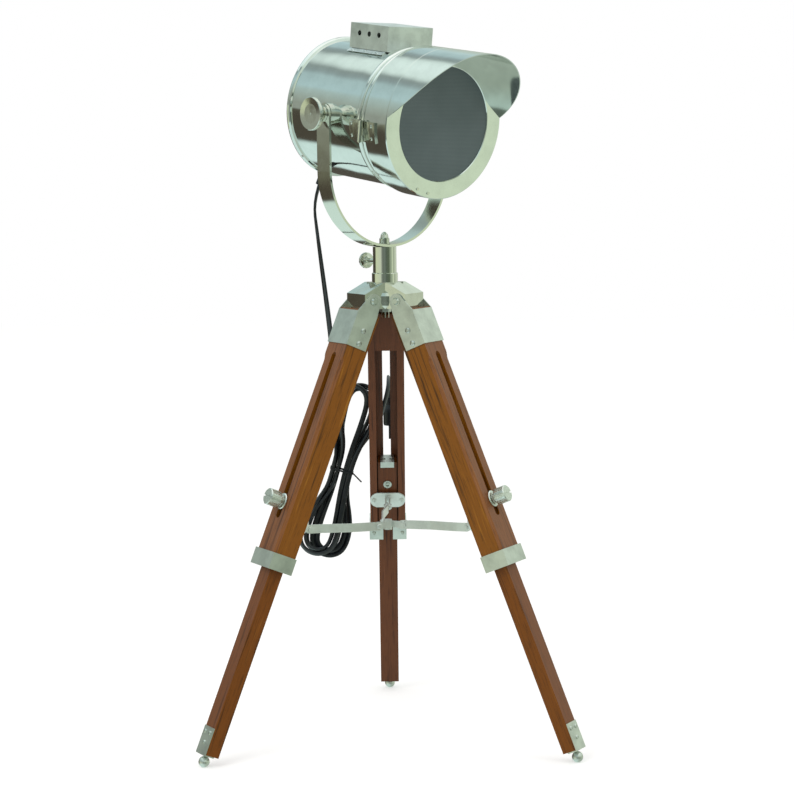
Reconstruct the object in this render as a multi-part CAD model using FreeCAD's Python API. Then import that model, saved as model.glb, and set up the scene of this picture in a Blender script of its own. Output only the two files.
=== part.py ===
import FreeCAD, Part
import os
import math

os.makedirs("parts", exist_ok=True)
V = FreeCAD.Vector

# ---------------------------------------------------------------- sizes (mm)
# tripod
leg_azimuths = {"back": 90.0, "left": 210.0, "right": 330.0}
leg_spread = 22.9
pivot_radius = 30.0
pivot_height = 568.0
ball_radius = 7.0
ball_centre_height = 6.8
timber_width = 47.0
timber_outer = 16.0
timber_inner = -15.0
timber_top = 16.0
timber_end = 358.0
channel_width = 28.0
channel_floor = 8.0
channel_top = 69.0
slot_width = 10.0
slot_top = 80.0
slot_end = 290.0
corner_chamfer = 3.5
chamfer_start = 86.0
lower_width = 25.0
lower_depth = 18.5
lower_gap = 0.4
lower_top = 240.0
lower_end = 600.0
clamp_station = 273.5
leg_travel = 168.0
plate = 1.5

# top ferrule
ferrule_top = 18.0
ferrule_end = 63.0
ear_inner_edge = -11.5
ear_radius = 9.5
# bottom ferrule
lip_height = 21.0
lip_gap = 13.0

# hub
hood_clearance = 0.3
hood_wall = 3.0
hood_reach = 42.5
hood_rise = 22.0
hood_end_rise = 9.0
hood_drop = 10.0
hood_top = pivot_height + hood_rise
hood_end_top = pivot_height + hood_end_rise
hood_floor = pivot_height - hood_drop
bolt_diameter = 8.0
bolt_head = 4.5
spindle_diameter = 20.0
spindle_play = 0.1
sleeve_diameter = 30.0
collar_diameter = 33.0
collar_height = 12.0
collar_top = hood_top + collar_height
stem_diameter = 8.0
bell_radius = 30.3

# yoke and head
head_azimuth = 39.5
head_pitch = 7.4
strap_width = 25.0
strap_thick = 3.0
yoke_radius = 94.5
sleeve_rise = 33.0
arm_length = 71.0
yoke_floor = collar_top + sleeve_rise
tilt_height = yoke_floor + strap_thick / 2 + yoke_radius + arm_length
drum_radius = 86.0
drum_wall = 1.2
drum_back = -85.0
drum_front = 77.0
bead_radius = 89.0
bead_stations = {59.5: 4.2, 68.2: 3.4, 74.4: 2.2}
rim_radius = 89.4
door_radius = 92.0
door_back = 77.5
door_front = 118.0
window_radius = 70.0
lens_radius = 82.0
lens_thick = 3.0
knob_radius = 20.5
knob_reach = 21.5
knob_face = yoke_radius + knob_reach
stud_diameter = 8.0
vent_half_width = 35.7
vent_back = -31.0
vent_front = 43.0
vent_top = 111.0
vent_sheet = 1.2
vent_hole = 3.3

# strap linkage
strap_length = 97.0
strap_height = 11.0
link_thick = 2.0
link_station = 295.0
link_reach = -33.0
centre_pin_radius = 17.5
strap_side = 7.0
strap_offset_run = 42.0
web_relief = 1.2
pin_diameter = 4.0

# flex
cord_radius = 2.9
strand_pitch = 6.5
layer_step = 6.5
layer_stagger = 8.0
loop_radius = 17.5
loop_half = 94.0
waist_draw = 12.5


# ---------------------------------------------------------------- helpers
def box(x0, x1, y0, y1, z0, z1):
    return Part.makeBox(x1 - x0, y1 - y0, z1 - z0, V(x0, y0, z0))


def rod(radius, base, direction, length):
    return Part.makeCylinder(radius, length, base, direction)


def prism(points, direction):
    ring = [V(*p) for p in points]
    ring.append(ring[0])
    return Part.Face(Part.makePolygon(ring)).extrude(V(*direction))


def turned(profile, axis):
    # profile: (distance along the axis, radius) pairs, closed back on the axis side
    if axis == "X":
        ring = [V(a, 0, r) for a, r in profile]
        direction = V(1, 0, 0)
    elif axis == "Y":
        ring = [V(0, a, r) for a, r in profile]
        direction = V(0, 1, 0)
    else:
        ring = [V(r, 0, a) for a, r in profile]
        direction = V(0, 0, 1)
    ring.append(ring[0])
    return Part.Face(Part.makePolygon(ring)).revolve(V(0, 0, 0), direction, 360)


def union(shapes):
    result = shapes[0]
    if len(shapes) > 1:
        result = shapes[0].fuse(shapes[1:])
    return result.removeSplitter()


def save(name, shape):
    if not shape.isValid():
        print("check shape", name)
    shape.exportStep("parts/" + name + ".step")


# ---------------------------------------------------------------- leg frame
# local x: outwards from the timber centre plane, y: across, z: minus the
# distance down the leg from its pivot
spread = math.radians(leg_spread)
ball_station = (pivot_height - ball_centre_height) / math.cos(spread)


def leg_box(o0, o1, t0, t1, s0, s1):
    return box(o0, o1, t0, t1, -s1, -s0)


def on_leg(shape, azimuth):
    placed = shape.copy()
    placed.rotate(V(0, 0, 0), V(0, 1, 0), -leg_spread)
    placed.translate(V(pivot_radius, 0, pivot_height))
    placed.rotate(V(0, 0, 0), V(0, 0, 1), azimuth)
    return placed


def leg_screw(o, t, s, direction, radius, height, shank):
    # pan head with a cross recess standing on a face, shank into the timber
    d = V(*direction)
    base = V(o, t, -s)
    head = rod(radius, base, d, height * 0.45)
    crown = base + d * (height * 0.45)
    dome = Part.makeCone(radius, radius * 0.55, height * 0.55, crown, d)
    body = rod(radius * 0.5, base - d * shank, d, shank)
    screw = head.fuse([dome, body])
    side = V(0, 0, 1)
    other = d.cross(side)
    top = base + d * (height * 0.6)
    for along, across in ((side, other), (other, side)):
        notch = Part.makeBox(radius * 1.1, radius * 0.28, height)
        notch.translate(V(-radius * 0.55, -radius * 0.14, 0))
        frame = FreeCAD.Placement(top, FreeCAD.Rotation(along, across, d, "ZXY"))
        notch.Placement = frame.multiply(notch.Placement)
        screw = screw.cut(notch)
    return screw


def upper_timber():
    half = timber_width / 2
    body = leg_box(timber_inner, timber_outer, -half, half, timber_top, timber_end)
    width = channel_width / 2
    below = timber_inner - 5
    past = timber_end + 5
    body = body.cut(leg_box(below, channel_floor, -width, width, channel_top, past))
    reach = slot_width / 2
    beyond = timber_outer + 2
    slot = leg_box(channel_floor - 2, beyond, -reach, reach, slot_top, slot_end)
    across = V(1, 0, 0)
    for station in (slot_top, slot_end):
        slot = slot.fuse(rod(slot_width / 2, V(channel_floor - 2, 0, -station), across, 12))
    body = body.cut(slot)
    for side in (-1, 1):
        edge = side * half
        c = corner_chamfer
        wedge = prism(
            [
                (timber_outer - c, edge, -timber_end - 1),
                (timber_outer + 1, edge, -timber_end - 1),
                (timber_outer + 1, edge - side * (c + 1), -timber_end - 1),
            ],
            (0, 0, timber_end + 1 - chamfer_start),
        )
        body = body.cut(wedge)
        for step in range(4):
            depth = c * (1 - (step + 0.5) / 4)
            small = prism(
                [
                    (timber_outer - depth, edge, -chamfer_start + step * 2),
                    (timber_outer + 1, edge, -chamfer_start + step * 2),
                    (timber_outer + 1, edge - side * (depth + 1), -chamfer_start + step * 2),
                ],
                (0, 0, 2),
            )
            body = body.cut(small)
    return body.removeSplitter()


def top_ferrule():
    half = timber_width / 2
    outer = timber_outer + plate
    shapes = [leg_box(timber_outer, outer, -half - plate, half + plate, ferrule_top, ferrule_end)]
    for side in (-1, 1):
        face = side * half
        reach = plate * side
        cheek = prism(
            [
                (ear_inner_edge, face, -ferrule_end),
                (outer, face, -ferrule_end),
                (outer, face, -ferrule_top),
                (ear_radius * 0.72, face, ear_radius * 0.69),
                (-ear_radius * 0.98, face, ear_radius * 0.2),
                (ear_inner_edge, face, -ferrule_top),
            ],
            (0, reach, 0),
        )
        round_end = rod(ear_radius, V(0, face, 0), V(0, side, 0), plate)
        shapes.append(cheek)
        shapes.append(round_end)
    body = union(shapes)
    body = body.cut(rod(bolt_diameter / 2 + 0.2, V(0, -50, 0), V(0, 1, 0), 100))
    screws = []
    for side in (-1, 1):
        for station in (40.0, 57.0):
            outer_face = side * (half + plate)
            screw = leg_screw(1.0, outer_face, station, (0, side, 0), 3.4, 1.8, 14.0)
            screws.append(screw)
    hole_cut = body
    for screw in screws:
        hole_cut = hole_cut.cut(screw)
    return Part.makeCompound([hole_cut] + screws), screws


def bottom_ferrule():
    half = timber_width / 2
    start = timber_end - lip_height
    gap = lip_gap / 2
    inner = timber_inner - plate
    outer = timber_outer + plate
    edge = half + plate
    past = timber_end + 1
    body = leg_box(inner, outer, -edge, edge, start, timber_end)
    body = body.cut(leg_box(timber_inner, timber_outer, -half, half, start - 1, past))
    body = body.cut(leg_box(inner - 4, timber_inner + 1, -gap, gap, start - 1, past))
    screws = []
    for side in (-1, 1):
        place = side * (half - 4.5)
        station = start + lip_height / 2
        screws.append(leg_screw(inner, place, station, (-1, 0, 0), 2.6, 1.4, 10.0))
    for screw in screws:
        body = body.cut(screw)
    return Part.makeCompound([body] + screws), screws


def strap_bracket():
    thick = 2.0
    height = 22.0
    half = timber_width / 2
    face = timber_inner
    top = link_station - height / 2
    foot = link_station + height / 2
    flat = leg_box(face - thick, face, -half + 8, half - 8, top, foot)
    for side in (-1, 1):
        corner = V(face - thick, side * (half - 11), -link_station)
        end = rod(height / 2, corner, V(1, 0, 0), thick)
        flat = flat.fuse(end.common(leg_box(face - thick, face, -half, half, 0, 400)))
    prongs = []
    for side in (-1, 1):
        t0 = min(side * 1.6, side * 3.6)
        first = link_station - 4.5
        last = link_station + 4.5
        arm = leg_box(link_reach, face - thick, t0, t0 + 2.0, first, last)
        tip = rod(4.5, V(link_reach, t0, -link_station), V(0, 1, 0), 2.0)
        prongs.append(arm)
        prongs.append(tip)
    pin = rod(pin_diameter / 2, V(link_reach, -5.2, -link_station), V(0, 1, 0), 10.4)
    heads = [rod(3.3, V(link_reach, t, -link_station), V(0, 1, 0), 1.6) for t in (-5.2, 3.6)]
    body = union([flat] + prongs + [pin] + heads)
    screws = []
    for side in (-1, 1):
        place = side * (half - 5.2)
        screws.append(leg_screw(face - thick, place, link_station, (-1, 0, 0), 3.2, 1.6, 14.0))
    for screw in screws:
        body = body.cut(screw)
    return Part.makeCompound([body] + screws), screws


def lower_timber():
    half = lower_width / 2
    outer = channel_floor - lower_gap
    body = leg_box(outer - lower_depth, outer, -half, half, lower_top, lower_end)
    body = body.cut(rod(3.3, V(-30, 0, -clamp_station), V(1, 0, 0), 60))
    return body


def lower_fittings():
    # foot plate with its ball, the guide cap on the top end, the clamp nut
    outer = channel_floor - lower_gap
    inner = outer - lower_depth
    half = lower_width / 2
    foot = leg_box(outer, outer + plate, -half, half, lower_end - 34, lower_end + plate)
    foot = foot.fuse(leg_box(-4.5, outer + plate, -half, half, lower_end, lower_end + plate))
    ball = Part.makeSphere(ball_radius, V(0, 0, -ball_station))
    neck = rod(2.6, V(0, 0, -ball_station), V(0, 0, 1), ball_station - lower_end - plate)
    foot = union([foot, ball, neck])
    cap = leg_box(inner, outer, -9.0, 9.0, lower_top - plate, lower_top)
    cap = cap.fuse(leg_box(inner - plate, inner, -9.0, 9.0, lower_top - plate, lower_top + 7))
    cap_screws = []
    for side in (-1, 1):
        screw = rod(2.2, V(-2.0, side * 5.0, -lower_top + plate), V(0, 0, 1), 1.2)
        screw = screw.fuse(rod(1.2, V(-2.0, side * 5.0, -lower_top + plate - 10), V(0, 0, 1), 10))
        cap_screws.append(screw)
    nut = rod(5.5, V(inner - 1.4, 0, -clamp_station), V(1, 0, 0), 1.4)
    nut = nut.fuse(rod(3.1, V(inner - 3.2, 0, -clamp_station), V(1, 0, 0), 3.2))
    nut = nut.cut(rod(2.2, V(inner - 8, 0, -clamp_station), V(1, 0, 0), 60))
    foot_screws = []
    for t, station in ((-6.5, 573.0), (6.5, 573.0), (0.0, 586.0)):
        foot_screws.append(leg_screw(outer + plate, t, station, (1, 0, 0), 2.8, 1.5, 10.0))
    for screw in foot_screws:
        foot = foot.cut(screw)
    for screw in cap_screws:
        cap = cap.cut(screw)
    return [foot, cap, nut] + foot_screws + cap_screws, foot_screws + cap_screws


def leg_knob():
    start = timber_outer
    grip = start + 7.0
    profile = [
        (-11.5, 0.0),
        (-11.5, 2.1),
        (start, 2.1),
        (start, 10.0),
        (start + 1.2, 10.6),
        (start + 2.2, 9.6),
        (start + 3.0, 6.6),
        (grip, 6.6),
        (grip, 9.7),
        (grip + 0.8, 10.5),
        (grip + 15.0, 10.5),
        (grip + 16.0, 9.6),
        (grip + 16.0, 0.0),
    ]
    body = turned(profile, "X")
    for index in range(24):
        angle = math.radians(index * 15)
        start_point = V(grip + 2, 10.6 * math.cos(angle), 10.6 * math.sin(angle))
        groove = rod(0.55, start_point, V(1, 0, 0), 12)
        body = body.cut(groove)
    slot = box(grip + 13.5, grip + 20, -12, 12, -0.9, 0.9)
    body = body.cut(slot)
    body.translate(V(0, 0, -clamp_station))
    return body


upper = upper_timber()
top, top_screws = top_ferrule()
bottom, bottom_screws = bottom_ferrule()
bracket, bracket_screws = strap_bracket()
for screw in top_screws + bottom_screws + bracket_screws:
    upper = upper.cut(screw)
lower = lower_timber()
fittings, lower_screws = lower_fittings()
for screw in lower_screws:
    lower = lower.cut(screw)
knob = leg_knob()
for side, azimuth in leg_azimuths.items():
    save("upper_leg_" + side, on_leg(upper, azimuth))
    save("top_ferrule_" + side, on_leg(top, azimuth))
    save("bottom_ferrule_" + side, on_leg(bottom, azimuth))
    save("strap_bracket_" + side, on_leg(bracket, azimuth))
    save("lower_leg_" + side, on_leg(lower, azimuth))
    placed = [on_leg(piece, azimuth) for piece in fittings]
    floor_cut = box(-600, 600, -600, 600, -20, 0)
    placed[0] = placed[0].cut(floor_cut)
    save("lower_fittings_" + side, Part.makeCompound(placed))
    save("leg_knob_" + side, on_leg(knob, azimuth))

# ---------------------------------------------------------------- strap linkage
link_r = pivot_radius + link_station * math.sin(spread) + link_reach * math.cos(spread)
link_z = pivot_height - link_station * math.cos(spread) + link_reach * math.sin(spread)
strap_angle = math.degrees(math.acos((link_r - centre_pin_radius) / strap_length))
centre_z = link_z - strap_length * math.sin(math.radians(strap_angle))
print("strap rest angle", round(strap_angle, 2), "pins at z", round(link_z, 2), round(centre_z, 2))


def strap():
    # x runs outwards from the centre pin at -strap_length to the leg pin at 0
    h = strap_height / 2
    w = link_thick / 2
    far = -strap_length
    side = strap_side
    plan = [
        (h, -w, -h),
        (h, w, -h),
        (-14.0, w, -h),
        (far + strap_offset_run, side + w, -h),
        (far - h, side + w, -h),
        (far - h, side - w, -h),
        (far + strap_offset_run - 0.5, side - w, -h),
        (-14.5, -w, -h),
    ]
    body = prism(plan, (0, 0, strap_height))
    middle = box(far, 0, -4, side + 4, -h, h)
    ends = [rod(h, V(x, -4, 0), V(0, 1, 0), side + 8) for x in (far, 0)]
    body = body.common(middle.fuse(ends))
    body = body.cut(rod(pin_diameter / 2 + 0.2, V(0, -3, 0), V(0, 1, 0), 6))
    head = rod(3.6, V(far, side + w, 0), V(0, 1, 0), 1.3)
    dome = Part.makeCone(3.6, 2.0, 0.9, V(far, side + w + 1.3, 0), V(0, 1, 0))
    return union([body, head, dome])


def spreader():
    h = strap_height / 2
    shapes = [rod(5.2, V(0, 0, -h - 1.0), V(0, 0, 1), strap_height + 2.0)]
    for azimuth in leg_azimuths.values():
        reach = centre_pin_radius
        # the web is lower than its eye, so a strap that swings past clears it
        web = h - web_relief
        wing = box(0, reach, 4.2, 5.7, -web, web)
        tip = rod(h, V(reach, 4.2, 0), V(0, 1, 0), 1.5)
        tail = rod(3.0, V(reach, 3.0, 0), V(0, 1, 0), 1.2)
        ear = wing.fuse([tip, tail])
        ear.rotate(V(0, 0, 0), V(0, 0, 1), azimuth)
        shapes.append(ear)
    return union(shapes)


link = strap()
for side, azimuth in leg_azimuths.items():
    placed = link.copy()
    placed.rotate(V(0, 0, 0), V(0, 1, 0), -strap_angle)
    placed.translate(V(link_r, 0, link_z))
    placed.rotate(V(0, 0, 0), V(0, 0, 1), azimuth)
    save("strap_" + side, placed)
hub_piece = spreader()
hub_piece.translate(V(0, 0, centre_z))
save("spreader_centre", hub_piece)


# ---------------------------------------------------------------- hub
def hub_casting():
    half = timber_width / 2 - hood_clearance
    boss = rod(16.5, V(0, 0, hood_floor + 6), V(0, 0, 1), hood_top - hood_floor - 6)
    outers = [boss]
    pockets = []
    for azimuth in leg_azimuths.values():
        outer = prism(
            [
                (0, -half, hood_floor),
                (hood_reach, -half, hood_floor),
                (hood_reach, -half, hood_end_top),
                (16.5, -half, hood_top),
                (0, -half, hood_top),
            ],
            (0, 2 * half, 0),
        )
        wall = hood_wall
        inner = prism(
            [
                (0, -half + wall, hood_floor - 2),
                (hood_reach - wall, -half + wall, hood_floor - 2),
                (hood_reach - wall, -half + wall, hood_end_top - wall),
                (16.5, -half + wall, hood_top - wall - 0.6),
                (0, -half + wall, hood_top - wall - 0.6),
            ],
            (0, 2 * (half - wall), 0),
        )
        for shape in (outer, inner):
            shape.rotate(V(0, 0, 0), V(0, 0, 1), azimuth)
        outers.append(outer)
        pockets.append(inner)
    bell = turned(
        [
            (hood_floor, 0.0),
            (hood_floor, bell_radius - 3.2),
            (hood_floor + 4.0, bell_radius - 0.8),
            (hood_floor + 8.0, bell_radius),
            (hood_floor + 16.0, bell_radius),
            (hood_floor + 20.0, bell_radius - 1.2),
            (hood_floor + 24.0, bell_radius - 4.4),
            (hood_floor + 28.0, bell_radius - 8.6),
            (hood_floor + 30.5, bell_radius - 11.6),
            (hood_top, collar_diameter / 2),
            (hood_top, 0.0),
        ],
        "Z",
    )
    body = union(outers + [bell])
    body = body.cut(pockets[0].fuse(pockets[1:]))
    core_height = hood_top - hood_floor - 6
    body = body.fuse(rod(12.0, V(0, 0, hood_floor + 4), V(0, 0, 1), core_height))
    for azimuth in leg_azimuths.values():
        mouth = V(pivot_radius, -40, pivot_height)
        bore = rod(bolt_diameter / 2 + 0.05, mouth, V(0, 1, 0), 80)
        bore.rotate(V(0, 0, 0), V(0, 0, 1), azimuth)
        body = body.cut(bore)
    body = body.cut(rod(5.05, V(0, 0, 500), V(0, 0, 1), 120))
    return body.removeSplitter()


def pivot_bolt():
    half = timber_width / 2 + plate
    r = bolt_diameter / 2
    body = rod(r, V(0, -half, 0), V(0, 1, 0), 2 * half)
    for side in (-1, 1):
        face = V(0, side * half, 0)
        d = V(0, side, 0)
        body = body.fuse(rod(bolt_head + 1.2, face, d, 0.8))
        body = body.fuse(Part.makeCone(bolt_head, bolt_head * 0.7, 2.2, face + d * 0.8, d))
    return body.removeSplitter()


save("hub_casting", hub_casting())
bolts = []
for azimuth in leg_azimuths.values():
    bolt = pivot_bolt()
    bolt.translate(V(pivot_radius, 0, pivot_height))
    bolt.rotate(V(0, 0, 0), V(0, 0, 1), azimuth)
    bolts.append(bolt)
save("pivot_bolts", Part.makeCompound(bolts))

spindle_top = yoke_floor - 1.0
spindle = turned(
    [
        (545.0, 0.0),
        (545.0, 5.0),
        (hood_top, 5.0),
        (hood_top, collar_diameter / 2),
        (collar_top - 0.6, collar_diameter / 2),
        (collar_top, collar_diameter / 2 - 0.6),
        (collar_top, spindle_diameter / 2),
        (spindle_top, spindle_diameter / 2),
        (spindle_top, stem_diameter / 2),
        (yoke_floor + 15.0, stem_diameter / 2),
        (yoke_floor + 15.0, 0.0),
    ],
    "Z",
)
save("spindle", spindle)
nut = Part.makeCylinder(8.5, 1.6, V(0, 0, hood_floor + 4 - 1.6))
hexagon = []
for corner in range(7):
    angle = math.radians(60 * corner)
    hexagon.append(V(7.5 * math.cos(angle), 7.5 * math.sin(angle), 0))
hexnut = Part.Face(Part.makePolygon(hexagon)).extrude(V(0, 0, 8.0))
hexnut.translate(V(0, 0, hood_floor + 4 - 9.6))
nut = nut.fuse(hexnut).cut(Part.makeCylinder(5.0, 40, V(0, 0, 540)))
save("hub_nut", nut.removeSplitter())

dome_base = yoke_floor + strap_thick + 0.3
dome = turned(
    [
        (dome_base, stem_diameter / 2),
        (dome_base, 7.2),
        (dome_base + 1.2, 7.2),
        (dome_base + 1.2, 6.4),
        (dome_base + 7.0, 6.4),
        (dome_base + 8.2, 5.2),
        (dome_base + 11.6, 4.6),
        (dome_base + 13.8, 3.2),
        (dome_base + 15.2, 1.6),
        (dome_base + 15.6, 0.0),
        (yoke_floor + 15.0, 0.0),
        (yoke_floor + 15.0, stem_diameter / 2),
    ],
    "Z",
)
save("dome_nut", dome)

# ---------------------------------------------------------------- yoke
turn = head_azimuth - 90.0


def yawed(shape):
    placed = shape.copy()
    placed.rotate(V(0, 0, 0), V(0, 0, 1), turn)
    return placed


def yoke():
    half = strap_width / 2
    mid = yoke_floor + strap_thick / 2 + yoke_radius
    outer = yoke_radius + strap_thick / 2
    inner = yoke_radius - strap_thick / 2
    along = V(1, 0, 0)
    ring = Part.makeCylinder(outer, strap_width, V(-half, 0, mid), along)
    ring = ring.cut(Part.makeCylinder(inner, strap_width, V(-half, 0, mid), along))
    ring = ring.common(box(-half, half, -outer, outer, mid - outer - 1, mid))
    arms = []
    for side in (-1, 1):
        y0 = min(side * inner, side * outer)
        arm = box(-half, half, y0, y0 + strap_thick, mid, tilt_height)
        end = Part.makeCylinder(half, strap_thick, V(0, y0, tilt_height), V(0, 1, 0))
        arms.append(arm.fuse(end))
    body = union([ring] + arms)
    body = body.cut(rod(stud_diameter / 2 + 0.3, V(0, -120, tilt_height), V(0, 1, 0), 240))
    body = body.cut(rod(stem_diameter / 2 + 0.3, V(0, 0, 600), V(0, 0, 1), 60))
    return body


save("yoke", yawed(yoke()))
screw_azimuth = 120.0
sleeve_length = yoke_floor - collar_top - 0.3
sleeve = Part.makeCylinder(sleeve_diameter / 2, sleeve_length, V(0, 0, collar_top + 0.3))
sleeve_bore = spindle_diameter / 2 + spindle_play
sleeve = sleeve.cut(Part.makeCylinder(sleeve_bore, 60, V(0, 0, 590)))
screw_bore = rod(3.0, V(0, 0, 616), V(1, 0, 0), 40)
screw_bore.rotate(V(0, 0, 616), V(0, 0, 1), screw_azimuth)
save("yoke_sleeve", sleeve.cut(screw_bore))
thumb = turned(
    [
        (spindle_diameter / 2 + 0.3, 0.0),
        (spindle_diameter / 2 + 0.3, 2.6),
        (15.4, 2.6),
        (15.4, 4.2),
        (18.5, 4.2),
        (20.0, 3.2),
        (43.0, 3.2),
        (44.6, 6.0),
        (45.2, 9.4),
        (46.0, 10.2),
        (48.6, 10.2),
        (49.4, 9.2),
        (49.0, 4.0),
        (48.6, 0.0),
    ],
    "X",
)
for index in range(18):
    angle = math.radians(index * 20)
    groove = rod(0.6, V(45.0, 10.4 * math.cos(angle), 10.4 * math.sin(angle)), V(1, 0, 0), 6)
    thumb = thumb.cut(groove)
thumb.translate(V(0, 0, 616))
thumb.rotate(V(0, 0, 616), V(0, 0, 1), screw_azimuth)
save("pan_screw", thumb)


# ---------------------------------------------------------------- head
# local x: forwards, y: towards the far side, z: up, origin on the tilt axis
def in_head(shape):
    placed = shape.copy()
    placed.rotate(V(0, 0, 0), V(0, 1, 0), head_pitch)
    placed.rotate(V(0, 0, 0), V(0, 0, 1), turn)
    placed.translate(V(0, 0, tilt_height))
    return placed


def bead(x, radius, section):
    # half-round bead rolled round the drum wall
    ring = Part.makeTorus(radius - section, section, V(x, 0, 0), V(1, 0, 0))
    inner = rod(drum_radius - drum_wall, V(x - 10, 0, 0), V(1, 0, 0), 20)
    return ring.cut(inner)


def drum_shell():
    r = drum_radius
    w = drum_wall
    profile = [
        (drum_back, 0.0),
        (drum_back, rim_radius - 4.0),
        (drum_back + 0.6, rim_radius - 1.8),
        (drum_back + 2.0, rim_radius - 0.4),
        (drum_back + 3.8, rim_radius),
        (drum_back + 5.6, rim_radius - 0.4),
        (drum_back + 7.2, rim_radius - 1.7),
        (drum_back + 8.2, r),
        (drum_front, r),
        (drum_front, r - w),
        (drum_back + w, r - w),
        (drum_back + w, 0.0),
    ]
    body = turned(profile, "X")
    body = body.fuse([bead(x, bead_radius, size) for x, size in bead_stations.items()])
    for station in (-14.0, 6.0, 26.0):
        body = body.cut(box(station - 4, station + 4, -22, 22, 60, 100))
    for side in (-1, 1):
        body = body.cut(rod(stud_diameter / 2 + 0.1, V(0, side * 70, 0), V(0, side, 0), 40))
    angle = math.radians(gland_angle)
    outwards = V(0, -math.cos(angle), -math.sin(angle))
    body = body.cut(rod(4.2, V(gland_station, 0, 0), outwards, 120))
    # louvred back: three short slots for the air
    for height in (-24.0, 0.0, 24.0):
        low = height - 2.5
        body = body.cut(box(drum_back - 2, drum_back + 4, -30, 30, low, low + 5.0))
    return body


gland_station = -60.0
gland_angle = 63.5
drum = drum_shell()


def vent_hood():
    s = vent_sheet
    w = vent_half_width
    z_low = 80.0
    outer = box(vent_back, vent_front, -w, w, z_low, vent_top)
    inner = box(vent_back + s, vent_front - s, -w + s, w - s, z_low - 1, vent_top - s)
    body = outer.cut(inner)
    flanges = []
    for side in (-1, 1):
        y0 = min(side * w, side * (w + 9))
        flanges.append(box(vent_back + 3, vent_front - 3, y0, y0 + 9, z_low - 4, z_low + 16))
    keep = rod(drum_radius + 1.2, V(vent_back, 0, 0), V(1, 0, 0), vent_front - vent_back)
    shoes = []
    for flange in flanges:
        shoes.append(flange.common(keep))
    body = union([body] + shoes)
    body = body.cut(rod(drum_radius, V(-60, 0, 0), V(1, 0, 0), 140))
    for station in (-13.0, 6.0, 25.0):
        body = body.cut(rod(vent_hole, V(station, -60, 99), V(0, 1, 0), 120))
    return body


rivets = []
for side in (-1, 1):
    for station in (-19.0, 6.0, 29.0):
        lateral = side * (vent_half_width + 4.5)
        z = math.sqrt((drum_radius + 1.2) ** 2 - lateral ** 2)
        d = V(0, lateral, z)
        d.normalize()
        base = V(station, lateral, z) - d * 0.25
        rivet = Part.makeCone(2.6, 1.4, 1.5, base, d)
        rivet = rivet.fuse(rod(1.5, base - d * 3.2, d, 3.2))
        rivets.append(rivet)
vent = vent_hood()
for rivet in rivets:
    drum = drum.cut(rivet)
    vent = vent.cut(rivet)
save("vent_hood", in_head(vent))
save("vent_rivets", in_head(Part.makeCompound(rivets)))

a = math.radians(gland_angle)
gland_axis = V(0, -math.cos(a), -math.sin(a))
gland = turned(
    [
        (-4.0, cord_radius + 0.3),
        (-4.0, 6.4),
        (-1.6, 6.4),
        (-1.6, 4.1),
        (0.6, 4.1),
        (0.6, 7.2),
        (3.6, 7.2),
        (4.4, 6.2),
        (8.5, 5.6),
        (16.0, 4.6),
        (22.0, 4.1),
        (22.0, cord_radius + 0.3),
    ],
    "X",
)
gland_frame = FreeCAD.Rotation(V(1, 0, 0), gland_axis)
gland_seat = V(gland_station, 0, 0) + gland_axis * drum_radius
gland.Placement = FreeCAD.Placement(gland_seat, gland_frame)
save("cable_gland", in_head(gland))

spacers = []
studs = []
for side in (-1, 1):
    d = V(0, side, 0)
    inner_face = yoke_radius - strap_thick / 2
    ring = rod(13.5, V(0, side * 83.4, 0), d, inner_face - 0.3 - 83.4)
    ring = ring.cut(rod(drum_radius, V(-40, 0, 0), V(1, 0, 0), 80))
    ring = ring.cut(rod(stud_diameter / 2 + 0.05, V(0, side * 70, 0), d, 40))
    spacers.append(ring)
    stud = rod(stud_diameter / 2, V(0, side * 80.0, 0), d, 31.0)
    stud = stud.fuse(rod(7.5, V(0, side * 79.6, 0), d, 4.0))
    wall = rod(drum_radius, V(-40, 0, 0), V(1, 0, 0), 80)
    wall = wall.cut(rod(84.2, V(-50, 0, 0), V(1, 0, 0), 100))
    wall = wall.cut(rod(stud_diameter / 2, V(0, side * 70, 0), d, 40))
    stud = stud.cut(wall)
    studs.append(stud)
save("tilt_spacers", in_head(Part.makeCompound(spacers)))
save("tilt_studs", in_head(Part.makeCompound(studs)))


def tilt_knob(side):
    face = yoke_radius + strap_thick / 2 + 0.3
    profile = [
        (face, stud_diameter / 2 + 0.15),
        (face, 10.0),
        (face + 3.0, 10.0),
        (face + 5.0, 10.6),
        (face + 8.0, 12.4),
        (face + 11.0, 15.6),
        (face + 13.4, 19.4),
        (knob_face - 4.2, knob_radius),
        (knob_face - 0.6, knob_radius),
        (knob_face, knob_radius - 0.8),
        (knob_face - 0.8, 12.0),
        (knob_face - 1.0, 0.0),
        (112.0, 0.0),
        (112.0, stud_diameter / 2 + 0.15),
    ]
    body = turned(profile, "Y")
    if side < 0:
        body.rotate(V(0, 0, 0), V(0, 0, 1), 180)
    return body


save("tilt_knob_near", in_head(tilt_knob(-1)))
save("tilt_knob_far", in_head(tilt_knob(1)))

# reflector, lamp holder, bulb
reflector_profile = []
for step in range(13):
    x = -34.0 + step * (106.0 / 12)
    radius = 22.0 + 57.0 * math.sqrt((x + 34.0) / 106.0)
    reflector_profile.append((x, radius))
wall_profile = [(x + 0.9, radius - 1.0) for x, radius in reflector_profile]
wall_profile.reverse()
reflector = turned(
    reflector_profile
    + [(71.0, 80.0), (71.0, 84.8), (72.2, 84.8), (73.0, 80.0)]
    + wall_profile,
    "X",
)
save("reflector", in_head(reflector))
holder = turned(
    [
        (drum_back + drum_wall, 0.0),
        (drum_back + drum_wall, 22.0),
        (drum_back + 4.0, 22.0),
        (drum_back + 5.0, 16.0),
        (-52.0, 16.0),
        (-50.0, 19.5),
        (-30.0, 19.5),
        (-28.0, 18.0),
        (-28.0, 14.6),
        (-56.0, 14.6),
        (-56.0, 0.0),
    ],
    "X",
)
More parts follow.
